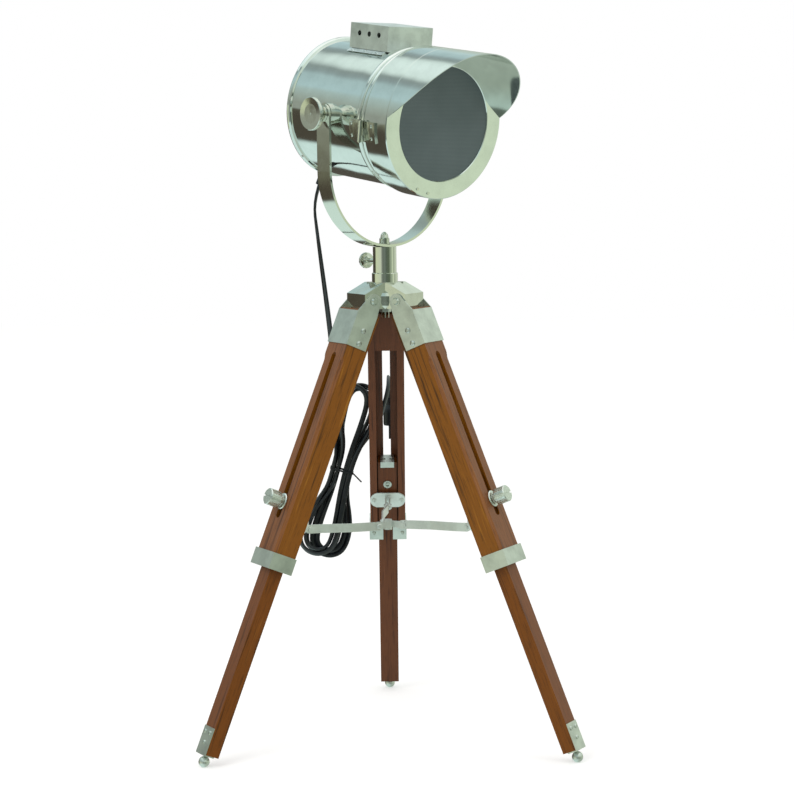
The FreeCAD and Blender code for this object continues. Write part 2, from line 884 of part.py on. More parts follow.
wire_start = V(gland_station, 0, 0) + gland_axis * (drum_radius + 2.0)
wire_end = V(gland_station, 0, 0) + gland_axis * 15.5
wire = rod(2.6, wire_end, wire_start - wire_end, (wire_start - wire_end).Length)
save("lamp_holder", in_head(union([holder, wire])))
bulb = turned(
    [
        (-55.0, 0.0),
        (-55.0, 4.0),
        (-52.0, 9.0),
        (-50.0, 13.2),
        (-24.0, 13.2),
        (-20.0, 14.5),
        (-12.0, 19.0),
        (-3.0, 25.5),
        (6.0, 29.2),
        (14.0, 30.0),
        (22.0, 29.0),
        (30.0, 25.4),
        (37.0, 19.0),
        (41.5, 10.5),
        (43.0, 0.0),
    ],
    "X",
)
save("bulb", in_head(bulb))

# ---------------------------------------------------------------- door
ring = turned(
    [
        (door_back, door_radius - 1.2),
        (door_back, door_radius),
        (door_front - 1.0, door_radius),
        (door_front, door_radius - 1.0),
        (door_front, window_radius + 0.8),
        (door_front - 0.8, window_radius),
        (door_front - 1.5, window_radius),
        (door_front - 1.5, door_radius - 1.2),
    ],
    "X",
)
lens_back = door_front - 1.5 - lens_thick - 0.8
lens = rod(lens_radius, V(lens_back + 0.8, 0, 0), V(1, 0, 0), lens_thick)
save("lens", in_head(lens))
clip_ring = turned(
    [
        (lens_back - 2.4, door_radius - 1.2),
        (lens_back - 2.4, door_radius - 2.6),
        (lens_back - 0.6, door_radius - 2.6),
        (lens_back - 0.6, 76.0),
        (lens_back + 0.8, 76.0),
        (lens_back + 0.8, door_radius - 1.2),
    ],
    "X",
)
save("lens_ring", in_head(clip_ring))


def visor():
    # upper half shell, its ends swept back in a convex curve
    shell = rod(door_radius, V(door_front, 0, 0), V(1, 0, 0), 73.0)
    shell = shell.cut(rod(door_radius - 1.2, V(door_front - 1, 0, 0), V(1, 0, 0), 80.0))
    shell = shell.common(box(door_front, door_front + 73, -100, 100, 8.0, 100))
    start = V(door_front, 0, 8.0)
    middle = V(door_front + 47.0, 0, 50.0)
    end = V(door_front + 73.0, 0, door_radius)
    arc = Part.Arc(start, middle, end).toShape()
    corner = V(door_front + 90.0, 0, door_radius + 10)
    under = V(door_front + 90.0, 0, 0)
    back = V(door_front, 0, 0)
    edges = [arc]
    chain = [end, V(door_front + 73.0, 0, door_radius + 10), corner, under, back, start]
    for first, second in zip(chain, chain[1:]):
        edges.append(Part.makeLine(first, second))
    waste = Part.Face(Part.Wire(edges)).extrude(V(0, 240, 0))
    waste.translate(V(0, -120, 0))
    return shell.cut(waste)


save("visor", in_head(visor()))

# hinge: pin upright beside the seam on the near side
hinge_y = -97.6
hinge_z = -13.0
hinge_half = 12.7
knuckle = 3.0
leaf_thick = 2.2
leaf_back = 47.0
leaf_front = 99.0
leaf_seat = bead_radius + 0.05


def knuckle_part(z0, z1):
    return Part.makeCylinder(knuckle, z1 - z0, V(drum_front, hinge_y, z0))


def leaf(x0, x1, radius, spans):
    # plate bent round the drum, with its share of the knuckles
    body = rod(radius + leaf_thick, V(x0, 0, 0), V(1, 0, 0), x1 - x0)
    body = body.cut(rod(radius, V(x0 - 1, 0, 0), V(1, 0, 0), x1 - x0 + 2))
    low = hinge_z - hinge_half
    body = body.common(box(x0, x1, -110, 0, low, low + 2 * hinge_half))
    shapes = [body]
    for z0, z1 in spans:
        shapes.append(knuckle_part(z0, z1))
        if x1 < drum_front + 0.2:
            x_lo = x1 - 4.0
            x_hi = drum_front
        else:
            x_lo = drum_front
            x_hi = x0 + 4.0
        web = box(x_lo, x_hi, hinge_y, -radius + 3.6, z0, z1)
        web = web.cut(rod(radius, V(x_lo - 1, 0, 0), V(1, 0, 0), x_hi - x_lo + 2))
        shapes.append(web)
    return union(shapes)


low = hinge_z - hinge_half
third = 2 * hinge_half / 3
drum_spans = [(low, low + third - 0.2), (low + 2 * third + 0.2, low + 3 * third)]
door_spans = [(low + third + 0.1, low + 2 * third - 0.1)]
leaf_drum = leaf(leaf_back, 76.8, leaf_seat, drum_spans)
leaf_door = leaf(door_back + 0.1, leaf_front, door_radius, door_spans)
pin = Part.makeCylinder(1.5, 2 * hinge_half + 2.0, V(drum_front, hinge_y, low - 1.0))
pin_hole = Part.makeCylinder(1.6, 2 * hinge_half + 10.0, V(drum_front, hinge_y, low - 5.0))
leaf_door = leaf_door.cut(pin_hole)
leaf_drum = leaf_drum.fuse(pin)
# packing block under the drum leaf, and the boss pressed into the leaf
packing = rod(leaf_seat, V(leaf_back, 0, 0), V(1, 0, 0), 7.0)
packing = packing.cut(rod(drum_radius, V(leaf_back - 1, 0, 0), V(1, 0, 0), 9.0))
packing = packing.common(box(40, 60, -110, 0, low, low + 2 * hinge_half))
boss = rod(leaf_seat + leaf_thick + 2.0, V(56.0, 0, 0), V(1, 0, 0), 14.0)
boss = boss.cut(rod(leaf_seat + 1.0, V(55.0, 0, 0), V(1, 0, 0), 16.0))
boss = boss.common(box(50, 75, -110, 0, hinge_z - 9.5, hinge_z + 9.5))
leaf_drum = leaf_drum.fuse([packing, boss]).removeSplitter()


def radial_screw(x, z, radius, head_radius, height, shank, side=-1):
    y = side * math.sqrt(radius ** 2 - z ** 2)
    d = V(0, y, z)
    d.normalize()
    base = V(x, y, z) - d * 0.2
    half = height * 0.5
    screw = rod(head_radius, base, d, half)
    screw = screw.fuse(Part.makeCone(head_radius, head_radius * 0.5, half, base + d * half, d))
    return screw.fuse(rod(head_radius * 0.5, base - d * shank, d, shank))


head_screws = []
door_screws = []
for offset in (-7.5, 7.5):
    z = hinge_z + offset
    seat = leaf_seat + leaf_thick
    head_screws.append(radial_screw(leaf_back + 4.0, z, seat, 2.0, 1.4, 6.0))
    door_screws.append(radial_screw(92.5, z, door_radius + leaf_thick, 2.0, 1.4, 4.5))
for angle in (-78.0, -66.0):
    c = math.radians(angle)
    place = V(door_front - 0.1, -86.0 * math.cos(c), 86.0 * math.sin(c))
    door_screws.append(rod(1.9, place, V(1, 0, 0), 1.2))
for screw in head_screws:
    leaf_drum = leaf_drum.cut(screw)
for screw in door_screws:
    leaf_door = leaf_door.cut(screw)
save("hinge_leaf_drum", in_head(leaf_drum))
save("hinge_leaf_door", in_head(leaf_door))

# spring catch on the far side, lying over the seam
catch_back = 42.0
catch_front = 92.0
catch_seat = door_radius + 0.7
catch_low = hinge_z - 7.0
catch = rod(catch_seat + 1.2, V(catch_back, 0, 0), V(1, 0, 0), catch_front - catch_back)
catch = catch.cut(rod(catch_seat, V(catch_back - 1, 0, 0), V(1, 0, 0), 60.0))
catch = catch.common(box(catch_back, catch_front, 0, 110, catch_low, catch_low + 14))
foot = rod(catch_seat, V(catch_back, 0, 0), V(1, 0, 0), 10.0)
foot = foot.cut(rod(drum_radius, V(catch_back - 1, 0, 0), V(1, 0, 0), 12.0))
foot = foot.common(box(catch_back, catch_back + 10, 0, 110, catch_low, catch_low + 14))
catch = union([catch, foot])
catch_screw = radial_screw(catch_back + 5.0, hinge_z, catch_seat + 1.2, 2.2, 1.4, 8.5, 1)
catch = catch.cut(catch_screw)
head_screws.append(catch_screw)
save("door_catch", in_head(catch))
save("head_screws", in_head(Part.makeCompound(head_screws)))
save("door_screws", in_head(Part.makeCompound(door_screws)))
for screw in head_screws:
    drum = drum.cut(screw)
for screw in door_screws:
    ring = ring.cut(screw)
save("drum_shell", in_head(drum))
save("door_ring", in_head(ring))

# ---------------------------------------------------------------- flex
hank_centre = V(-61.0, 131.0, 331.0)
hank_lean = math.radians(15.7)
along = V(math.sin(hank_lean), 0, math.cos(hank_lean))
sideways = V(math.cos(hank_lean), 0, -math.sin(hank_lean))
depthwise = V(0, 1, 0)
section_area = math.pi * cord_radius ** 2
edges = []
radii = []


def at(length, width, depth):
    return hank_centre + along * length + sideways * width + depthwise * depth


def arc(start, middle, end):
    return Part.Arc(start, middle, end).toShape()


def loop_end(end, width, layer):
    # where a loop's side meets its end turn; each layer lies a little to the side
    shift = (layer - 1) * layer_stagger
    return at(end * loop_half, width + shift, (layer - 1) * layer_step)


def waist(width, layer):
    drawn = math.copysign(abs(width) - waist_draw, width)
    return at(0, drawn, (layer - 1) * layer_step)


def side_run(start, end):
    # half a side between its end and the waist: two equal arcs that begin and
    # end along the hank
    reach = (end - start).dot(along) / 2
    across = (end - start) - along * (2 * reach)
    shift = across.Length / 2
    radius = (reach ** 2 + shift ** 2) / (2 * shift)
    bend = math.asin(abs(reach) / radius) / 2
    lift = radius * (1 - math.cos(bend)) / (2 * shift)
    step = math.copysign(radius * math.sin(bend), reach)
    points = []
    for offset, part in ((0, 0), (step, lift), (reach, 0.5), (2 * reach - step, 1 - lift)):
        points.append(start + along * offset + across * part)
    points.append(end)
    radii.append(radius)
    edges.append(arc(points[0], points[1], points[2]))
    edges.append(arc(points[2], points[3], points[4]))


def end_turn(end, w0, w1, layer):
    # half turn in two quarters
    first = loop_end(end, w0, layer)
    last = loop_end(end, w1, layer)
    centre = (first + last) / 2
    arm = (first - last) / 2
    rise = along * (end * arm.Length)
    for begin in (0.0, 90.0):
        points = []
        for degrees in (begin, begin + 45.0, begin + 90.0):
            c = math.radians(degrees)
            points.append(centre + arm * math.cos(c) + rise * math.sin(c))
        edges.append(arc(points[0], points[1], points[2]))


# each pass runs along one side: its place in the loop, the layer it starts in
# and the layer it ends in; passes go down and up by turns
inner = loop_radius
outer = loop_radius + strand_pitch
passes = [(-inner, 0, 0), (inner, 0, 0), (-outer, 0, 0), (outer, 0, 1), (-outer, 1, 1)]
passes += [(inner, 1, 1), (-inner, 1, 2), (inner, 2, 2), (-outer, 2, 2), (outer, 2, 2)]
way = -1
for index, (width, first, last) in enumerate(passes):
    if index > 0:
        side_run(loop_end(-way, width, first), waist(width, first))
    side_run(waist(width, first), loop_end(way, width, last))
    if index + 1 < len(passes):
        end_turn(way, width, passes[index + 1][0], last)
    way = -way
route = Part.Wire(edges)


def sweep(path, name):
    start = path.Edges[0].Vertexes[0].Point
    if len(path.Edges) > 1:
        follow = path.Edges[1]
        ends = [v.Point for v in follow.Vertexes]
        if min((start - p).Length for p in ends) < 1e-4:
            start = path.Edges[0].Vertexes[1].Point
    edge = path.Edges[0]
    parameter = edge.Curve.parameter(start)
    tangent = edge.tangentAt(parameter)
    ring = Part.Wire([Part.Circle(start, tangent, cord_radius).toShape()])
    shape = path.makePipeShell([ring], True, False)
    ratio = shape.Volume / (section_area * path.Length)
    print(name, "length", round(path.Length, 1), "volume ratio", round(ratio, 4))
    print(name, "valid", shape.isValid())
    return shape


def self_gap(path):
    # least gap between strands that are apart along the flex
    samples = []
    total = 0.0
    for edge in path.OrderedEdges:
        count = max(3, int(edge.Length / 4.0))
        for point in edge.discretize(count)[:-1]:
            samples.append((total, point))
        total += edge.Length
    # arc length grows edge by edge, so neighbours are left out by index
    least = 1e9
    for i in range(0, len(samples), 2):
        for j in range(i + 12, len(samples)):
            gap = (samples[i][1] - samples[j][1]).Length
            if gap < least:
                least = gap
    return least - 2 * cord_radius


hank = sweep(route, "cord_hank")
print("hank least gap", round(self_gap(route), 2), "least side radius", round(min(radii), 1))
save("cord_hank", hank)


def rounded_route(points, name):
    # straight runs joined by tangent arcs
    corners = []
    found = []
    for index in range(1, len(points) - 1):
        before = points[index - 1] - points[index]
        after = points[index + 1] - points[index]
        b = V(before)
        b.normalize()
        c = V(after)
        c.normalize()
        half_turn = (math.pi - b.getAngle(c)) / 2
        radius = 0.45 * min(before.Length, after.Length) / math.tan(half_turn)
        setback = radius * math.tan(half_turn)
        bisector = b + c
        bisector.normalize()
        middle = points[index] + bisector * (radius / math.cos(half_turn) - radius)
        corners.append((points[index] + b * setback, middle, points[index] + c * setback))
        found.append(round(radius, 1))
    shapes = []
    cursor = points[0]
    for start, middle, end in corners:
        shapes.append(Part.makeLine(cursor, start))
        shapes.append(arc(start, middle, end))
        cursor = end
    shapes.append(Part.makeLine(cursor, points[-1]))
    print(name, "radii", found)
    return Part.Wire(shapes)


def head_point(vector):
    pitched = FreeCAD.Rotation(V(0, 1, 0), head_pitch).multVec(vector)
    yawed_point = FreeCAD.Rotation(V(0, 0, 1), turn).multVec(pitched)
    return yawed_point + V(0, 0, tilt_height)


gland_base = head_point(V(gland_station, 0, 0) + gland_axis * drum_radius)
gland_way = head_point(V(gland_station, 0, 0) + gland_axis * (drum_radius + 1.0)) - gland_base
lead_start = gland_base + gland_way * 2.2
lead_bend = gland_base + gland_way * 40.0
hank_entry = waist(-inner, 0)
lead_points = [
    lead_start,
    lead_bend,
    V(-85.5, 26.5, 650.0),
    V(-80.5, 32.0, 606.0),
    V(-75.5, 42.0, 561.0),
    V(-71.0, 56.0, 516.0),
    V(-67.5, 73.5, 471.0),
    V(-63.0, 93.0, 430.0),
    V(-60.5, 112.0, 394.0),
    hank_entry + along * 31.0,
    hank_entry,
]
save("cord_lead", sweep(rounded_route(lead_points, "cord_lead"), "cord_lead"))
hank_exit = loop_end(1, outer, 2)
tail_points = [
    hank_exit,
    hank_exit + along * 28.0,
    V(3.5, 150.5, 452.0),
    V(4.1, 166.4, 452.5),
    V(4.4, 177.8, 441.5),
    V(4.5, 178.2, 416.0),
]
save("cord_tail", sweep(rounded_route(tail_points, "cord_tail"), "cord_tail"))

# tie round the waist of the hank, ends twisted together
reach_w = outer - waist_draw + cord_radius + 0.5
reach_d = layer_step + cord_radius + 0.5


def tie_ring(grow, half_height):
    w = reach_w + grow
    d = reach_d + grow
    ring = []
    for s, t in ((-1, -0.7), (-0.85, -1), (0.85, -1), (1, -0.7)):
        ring.append(at(-half_height, s * w, t * d))
    for s, t in ((1, 0.7), (0.85, 1), (-0.85, 1), (-1, 0.7)):
        ring.append(at(-half_height, s * w, t * d))
    ring.append(ring[0])
    return Part.Face(Part.makePolygon(ring)).extrude(along * (2 * half_height))


band = tie_ring(1.1, 1.3).cut(tie_ring(0.0, 2.0))
twist = rod(1.0, at(0, reach_w + 0.4, -3.0), sideways - along * 0.55 - depthwise * 0.4, 17.0)
save("cord_tie", band.fuse(twist).removeSplitter())

# plug: round body, two round pins, pointing down from the tail
plug_top = tail_points[-1]
profile = [
    (0.0, cord_radius + 0.1),
    (0.0, 4.8),
    (-8.0, 5.2),
    (-14.0, 8.0),
    (-18.0, 9.0),
    (-33.0, 9.0),
    (-36.0, 8.2),
    (-36.0, 0.0),
    (-6.0, 0.0),
    (-6.0, cord_radius + 0.1),
]
plug = turned(profile, "Z")
for side in (-1, 1):
    plug = plug.fuse(rod(2.0, V(0, side * 5.0, -36.5), V(0, 0, 1), 4))
    plug = plug.fuse(rod(2.0, V(0, side * 5.0, -54.0), V(0, 0, 1), 18.5))
plug.translate(plug_top + V(0, 0, 5.0))
save("plug", plug)
print("written", len(os.listdir("parts")))
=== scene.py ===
import math

import bpy
from mathutils import Euler, Matrix, Vector


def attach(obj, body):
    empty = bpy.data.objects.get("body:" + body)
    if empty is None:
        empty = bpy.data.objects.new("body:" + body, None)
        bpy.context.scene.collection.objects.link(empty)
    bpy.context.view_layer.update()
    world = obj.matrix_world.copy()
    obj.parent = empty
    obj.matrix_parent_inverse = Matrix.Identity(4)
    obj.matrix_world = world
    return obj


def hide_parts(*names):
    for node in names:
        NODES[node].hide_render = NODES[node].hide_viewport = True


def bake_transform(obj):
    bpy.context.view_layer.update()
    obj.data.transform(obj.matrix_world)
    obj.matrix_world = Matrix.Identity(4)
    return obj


bl_info = {
    "name": "Tripod Spotlight",
    "version": (1, 0, 0),
    "blender": (4, 5, 0),
    "location": "View3D > Sidebar > Spotlight",
    "description": "Dresses the packed tripod spotlight: timber, polished metal, lens and flex",
    "category": "Object",
}

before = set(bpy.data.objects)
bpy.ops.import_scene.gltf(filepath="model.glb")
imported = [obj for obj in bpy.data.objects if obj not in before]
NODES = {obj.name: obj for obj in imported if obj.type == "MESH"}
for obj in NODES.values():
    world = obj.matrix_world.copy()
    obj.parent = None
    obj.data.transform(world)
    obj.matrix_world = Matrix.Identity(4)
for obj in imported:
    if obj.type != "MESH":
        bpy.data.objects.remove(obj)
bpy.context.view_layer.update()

LEGS = {"back": 90.0, "left": 210.0, "right": 330.0}
LEG_SPREAD = math.radians(22.9)
LEG_PIVOT = Vector((0.030, 0.0, 0.568))
HEAD_AZIMUTH = math.radians(39.5)
HEAD_PITCH = math.radians(7.4)
TILT_AXIS = Vector((0.0, 0.0, 0.802))
HEAD_TURN = Euler((0.0, HEAD_PITCH, HEAD_AZIMUTH - math.pi / 2), "XYZ")

# Hank of flex: its middle, its lean and the sizes of its turns
HANK_MIDDLE = Vector((-0.061, 0.131, 0.331))
HANK_LEAN = math.radians(15.7)
HANK_HALF = 0.094
HANK_DRAW = 0.0125
HANK_INNER = 0.0175
HANK_OUTER = 0.0240
LAYER_STEP = 0.0065
LAYER_STAGGER = 0.0080


# ------------------------------------------------------------------ settings
class SpotlightStage(bpy.types.PropertyGroup):
    camera_distance: bpy.props.FloatProperty(
        name="Camera distance", description="From the tripod's axis to the camera",
        default=2.815, unit="LENGTH")
    camera_height: bpy.props.FloatProperty(
        name="Camera height", description="Height of the camera above the floor",
        default=0.756, unit="LENGTH")
    camera_pitch: bpy.props.FloatProperty(
        name="Camera pitch", description="How far the camera looks down",
        default=0.1107, subtype="ANGLE")
    camera_pan: bpy.props.FloatProperty(
        name="Camera pan", description="How far the camera is turned to the right of the axis",
        default=0.0048, subtype="ANGLE")
    camera_roll: bpy.props.FloatProperty(
        name="Camera roll", description="How far the camera leans",
        default=0.012, subtype="ANGLE")
    focal_length: bpy.props.FloatProperty(
        name="Focal length", description="Lens on a 36 mm sensor, in millimetres", default=100.6)
    sky_level: bpy.props.FloatProperty(
        name="Sky level", description="Level light from all round", default=0.78)
    key_power: bpy.props.FloatProperty(
        name="Key power", description="Soft lamp at the upper left", default=26.0, unit="POWER")
    fill_power: bpy.props.FloatProperty(
        name="Fill power", description="Soft lamp at the right", default=8.0, unit="POWER")


class SpotlightTimber(bpy.types.PropertyGroup):
    dark: bpy.props.StringProperty(name="Dark grain", description="Late wood", default="#4C2C08")
    middle: bpy.props.StringProperty(name="Middle grain", description="Stained wood", default="#85500B")
    light: bpy.props.StringProperty(name="Light grain", description="Early wood", default="#AB721F")
    # The three face colours are a duller copy of the stain for the outer and inner faces: painted shading by the way a
    # face points.
    outer_face_dark_painted_shading: bpy.props.StringProperty(name="Face dark", description="Late wood on the flat faces", default="#58331D")
    outer_face_middle_painted_shading: bpy.props.StringProperty(name="Face middle", description="Flat faces", default="#825331")
    outer_face_light_painted_shading: bpy.props.StringProperty(name="Face light", description="Early wood on the flat faces", default="#936342")
    edge: bpy.props.FloatProperty(
        name="Edge radius", description="Sanded edge", default=0.0007, unit="LENGTH")


class SpotlightMetal(bpy.types.PropertyGroup):
    polished: bpy.props.StringProperty(name="Polished steel", description="Buffed shell", default="#DDE2DC")
    nickel: bpy.props.StringProperty(name="Nickel plate", description="Hub, yoke and knobs", default="#D9DBCF")
    satin: bpy.props.StringProperty(name="Satin steel", description="Ferrules and straps", default="#DADED6")
    vent: bpy.props.StringProperty(name="Vent aluminium", description="Folded vent hood", default="#E6ECEA")


class SpotlightFlex(bpy.types.PropertyGroup):
    width: bpy.props.FloatProperty(
        name="Flex width", description="Across both cores", default=0.0072, unit="LENGTH")
    thickness: bpy.props.FloatProperty(
        name="Flex thickness", description="Across one core", default=0.0040, unit="LENGTH")
    twist: bpy.props.FloatProperty(
        name="Twist", description="Turn of the flat flex in each metre",
        default=7.0, subtype="ANGLE")
    colour: bpy.props.StringProperty(name="Flex colour", description="Black sheath", default="#0F1216")


# ------------------------------------------------------------------ helpers
def linear(code, alpha=1.0):
    """sRGB hex colour as linear values."""
    values = [int(code.lstrip("#")[i:i + 2], 16) / 255 for i in (0, 2, 4)]
    values = [v / 12.92 if v <= 0.04045 else ((v + 0.055) / 1.055) ** 2.4 for v in values]
    return (*values, alpha)


def add_node(tree, kind, settings=None, links=None):
    """A node with its settings, and its inputs as values or as other nodes' outputs."""
    node = tree.nodes.new(kind)
    for key, value in (settings or {}).items():
        setattr(node, key, value)
    for key, value in (links or {}).items():
        if isinstance(value, bpy.types.NodeSocket):
            tree.links.new(value, node.inputs[key])
        else:
            node.inputs[key].default_value = value
    return node


def new_material(name):
    material = bpy.data.materials.new(name)
    material.use_nodes = True
    material.node_tree.nodes.clear()
    return material, material.node_tree


def close_material(tree, shader):
    add_node(tree, "ShaderNodeOutputMaterial", links={"Surface": shader.outputs[0]})


def ramp(tree, factor, stops):
    node = add_node(tree, "ShaderNodeValToRGB", links={"Fac": factor})
    elements = node.color_ramp.elements
    while len(elements) > 1:
        elements.remove(elements[-1])
    elements[0].position = stops[0][0]
    elements[0].color = linear(stops[0][1])
    for position, code in stops[1:]:
        elements.new(position).color = linear(code)
    return node


def dress(names, material):
    """Gives CAD nodes a material in their own slots."""
    for name in names:
        data = NODES[name].data
        if not data.materials:
            data.materials.append(material)
        for index in range(len(data.materials)):
            data.materials[index] = material


def soften(names, width, angle=35.0, segments=2):
    """A small rounded edge that catches the light."""
    for name in names:
        bevel = NODES[name].modifiers.new("edge", "BEVEL")
        bevel.width = width
        bevel.segments = segments
        bevel.limit_method = "ANGLE"
        bevel.angle_limit = math.radians(angle)
        bevel.harden_normals = False


def smooth_faces(names, angle=28.0):
    """Turned and rolled faces shade as one surface, folds stay crisp."""
    for name in names:
        data = NODES[name].data
        for polygon in data.polygons:
            polygon.use_smooth = True
        data.set_sharp_from_angle(angle=math.radians(angle))


def in_head(x, y, z):
    """A point of the head (forwards, far side, up, in metres) in the row frame."""
    return HEAD_TURN.to_matrix() @ Vector((x, y, z)) + TILT_AXIS


# ------------------------------------------------------------------ materials
def sheesham(side, lower=False):
    """Sheesham, sawn, stained and sprayed with satin lacquer: long dark streaks, fine pores
    and a soft sheen. Streaks are 2 to 4 mm wide, pores 0.8 mm."""
    timber = bpy.context.scene.spot_timber
    material, tree = new_material("sheesham_satin_lacquer_" + side + ("_lower" if lower else ""))
    where = add_node(tree, "ShaderNodeTexCoord")
    turn = (0.0, -LEG_SPREAD, math.radians(LEGS[side]))
    leg = add_node(tree, "ShaderNodeMapping", {"vector_type": "TEXTURE"}, {
        "Vector": where.outputs["Object"], "Rotation": turn,
        "Location": (0.13 * (1 + list(LEGS).index(side)), 0.07, 0.4 if lower else 0.0)})
    warp = add_node(tree, "ShaderNodeTexNoise", links={
        "Vector": leg.outputs[0], "Scale": 9.0, "Detail": 2.0})
    bend = add_node(tree, "ShaderNodeVectorMath", {"operation": "MULTIPLY_ADD"}, {
        0: warp.outputs["Color"], 1: (0.003, 0.003, 0.0), 2: leg.outputs[0]})
    long_grain = add_node(tree, "ShaderNodeMapping", {"vector_type": "POINT"}, {
        "Vector": bend.outputs[0], "Scale": (230.0, 230.0, 9.0)})
    streaks = add_node(tree, "ShaderNodeTexNoise", links={
        "Vector": long_grain.outputs[0], "Scale": 1.05, "Detail": 5.0, "Roughness": 0.62, "Distortion": 0.12})
    broad = add_node(tree, "ShaderNodeTexNoise", links={
        "Vector": long_grain.outputs[0], "Scale": 0.16, "Detail": 2.0, "Roughness": 0.5})
    pores_map = add_node(tree, "ShaderNodeMapping", {"vector_type": "POINT"}, {
        "Vector": bend.outputs[0], "Scale": (1250.0, 1250.0, 42.0)})
    pores = add_node(tree, "ShaderNodeTexNoise", links={
        "Vector": pores_map.outputs[0], "Scale": 1.0, "Detail": 3.0, "Roughness": 0.6})
    mixed = add_node(tree, "ShaderNodeMath", {"operation": "MULTIPLY_ADD"}, {
        0: streaks.outputs["Fac"], 1: 0.72, 2: 0.0})
    mixed2 = add_node(tree, "ShaderNodeMath", {"operation": "MULTIPLY_ADD"}, {
        0: broad.outputs["Fac"], 1: 0.28, 2: mixed.outputs[0]})
    side_colour = ramp(tree, mixed2.outputs[0], [
        (0.36, timber.dark), (0.46, timber.middle), (0.56, timber.middle), (0.68, timber.light)])
    # Copy of the stain ramp for the outer and inner faces, with its own colours: painted shading.
    outer_face_painted_shading = ramp(tree, mixed2.outputs[0], [
        (0.36, timber.outer_face_dark_painted_shading), (0.46, timber.outer_face_middle_painted_shading), (0.56, timber.outer_face_middle_painted_shading), (0.68, timber.outer_face_light_painted_shading)])
    facing = add_node(tree, "ShaderNodeMapping", {"vector_type": "TEXTURE"}, {
        "Vector": where.outputs["Normal"], "Rotation": turn})
    parts = add_node(tree, "ShaderNodeSeparateXYZ", links={"Vector": facing.outputs[0]})
    outward = add_node(tree, "ShaderNodeMath", {"operation": "ABSOLUTE"}, {0: parts.outputs["X"]})
    # Which copy shows depends on which way the face points: painted shading between outer and side faces.
    colour = add_node(tree, "ShaderNodeMix", {"data_type": "RGBA"}, {
        "Factor": outward.outputs[0], 6: side_colour.outputs["Color"], 7: outer_face_painted_shading.outputs["Color"]})
    dots = ramp(tree, pores.outputs["Fac"], [(0.30, "#8E8E8E"), (0.44, "#FFFFFF")])
    shade = add_node(tree, "ShaderNodeMix", {"data_type": "RGBA", "blend_type": "MULTIPLY"}, {
        "Factor": 0.75, 6: colour.outputs[2], 7: dots.outputs["Color"]})
    tone = {"back": "#DDD2D4", "left": "#FFFFFF", "right": "#FFFFFF"}[side]
    if lower:
        tone = {"back": "#D6C8C2", "left": "#E6D8C8", "right": "#EADCCB"}[side]
    toned = add_node(tree, "ShaderNodeMix", {"data_type": "RGBA", "blend_type": "MULTIPLY"}, {
        "Factor": 1.0, 6: shade.outputs[2], 7: linear(tone)})
    height = add_node(tree, "ShaderNodeMath", {"operation": "MULTIPLY_ADD"}, {
        0: pores.outputs["Fac"], 1: 0.5, 2: streaks.outputs["Fac"]})
    bump = add_node(tree, "ShaderNodeBump", links={
        "Height": height.outputs[0], "Strength": 0.10, "Distance": 0.0006})
    rough = add_node(tree, "ShaderNodeMapRange", links={
        "Value": streaks.outputs["Fac"], "To Min": 0.34, "To Max": 0.50})
    shader = add_node(tree, "ShaderNodeBsdfPrincipled", links={
        "Base Color": toned.outputs[2], "Roughness": rough.outputs[0], "Normal": bump.outputs[0],
        "Coat Weight": 0.06, "Coat Roughness": 0.22, "Specular IOR Level": 0.26})
    close_material(tree, shader)
    return material


def metal(name, code, roughness, wave=0.0, wave_size=0.05, grain=0.0, grain_scale=(1, 1, 1), tone=0.0):
    """A bare or plated metal. wave bends the reflections over wave_size metres, grain is the
    fine scratch left by the buff or belt."""
    material, tree = new_material(name)
    where = add_node(tree, "ShaderNodeTexCoord")
    links = {"Base Color": linear(code), "Metallic": 1.0, "Roughness": roughness}
    normal = None
    if wave:
        swell = add_node(tree, "ShaderNodeTexNoise", links={
            "Vector": where.outputs["Object"], "Scale": 1.0 / wave_size, "Detail": 1.0})
        normal = add_node(tree, "ShaderNodeBump", links={
            "Height": swell.outputs["Fac"], "Strength": 1.0, "Distance": wave})
    scratch_map = add_node(tree, "ShaderNodeMapping", links={
        "Vector": where.outputs["Object"], "Scale": grain_scale})
    scratch = add_node(tree, "ShaderNodeTexNoise", links={
        "Vector": scratch_map.outputs[0], "Scale": 300.0, "Detail": 3.0, "Roughness": 0.6})
    if grain:
        fine = {"Height": scratch.outputs["Fac"], "Strength": 0.25, "Distance": grain}
        if normal is not None:
            fine["Normal"] = normal.outputs[0]
        normal = add_node(tree, "ShaderNodeBump", links=fine)
    spread = add_node(tree, "ShaderNodeMapRange", links={
        "Value": scratch.outputs["Fac"], "To Min": roughness * 0.75, "To Max": roughness * 1.3})
    links["Roughness"] = spread.outputs[0]
    if tone:
        cloud = add_node(tree, "ShaderNodeTexNoise", links={
            "Vector": where.outputs["Object"], "Scale": 45.0, "Detail": 4.0, "Roughness": 0.6})
        level = int(255 * (1 - tone))
        shades = ramp(tree, cloud.outputs["Fac"], [(0.3, "#%02X%02X%02X" % (level, level, level)), (0.62, "#FFFFFF")])
        mixed = add_node(tree, "ShaderNodeMix", {"data_type": "RGBA", "blend_type": "MULTIPLY"}, {
            "Factor": 1.0, 6: linear(code), 7: shades.outputs["Color"]})
        links["Base Color"] = mixed.outputs[2]
    if normal is not None:
        links["Normal"] = normal.outputs[0]
    close_material(tree, add_node(tree, "ShaderNodeBsdfPrincipled", links=links))
    return material


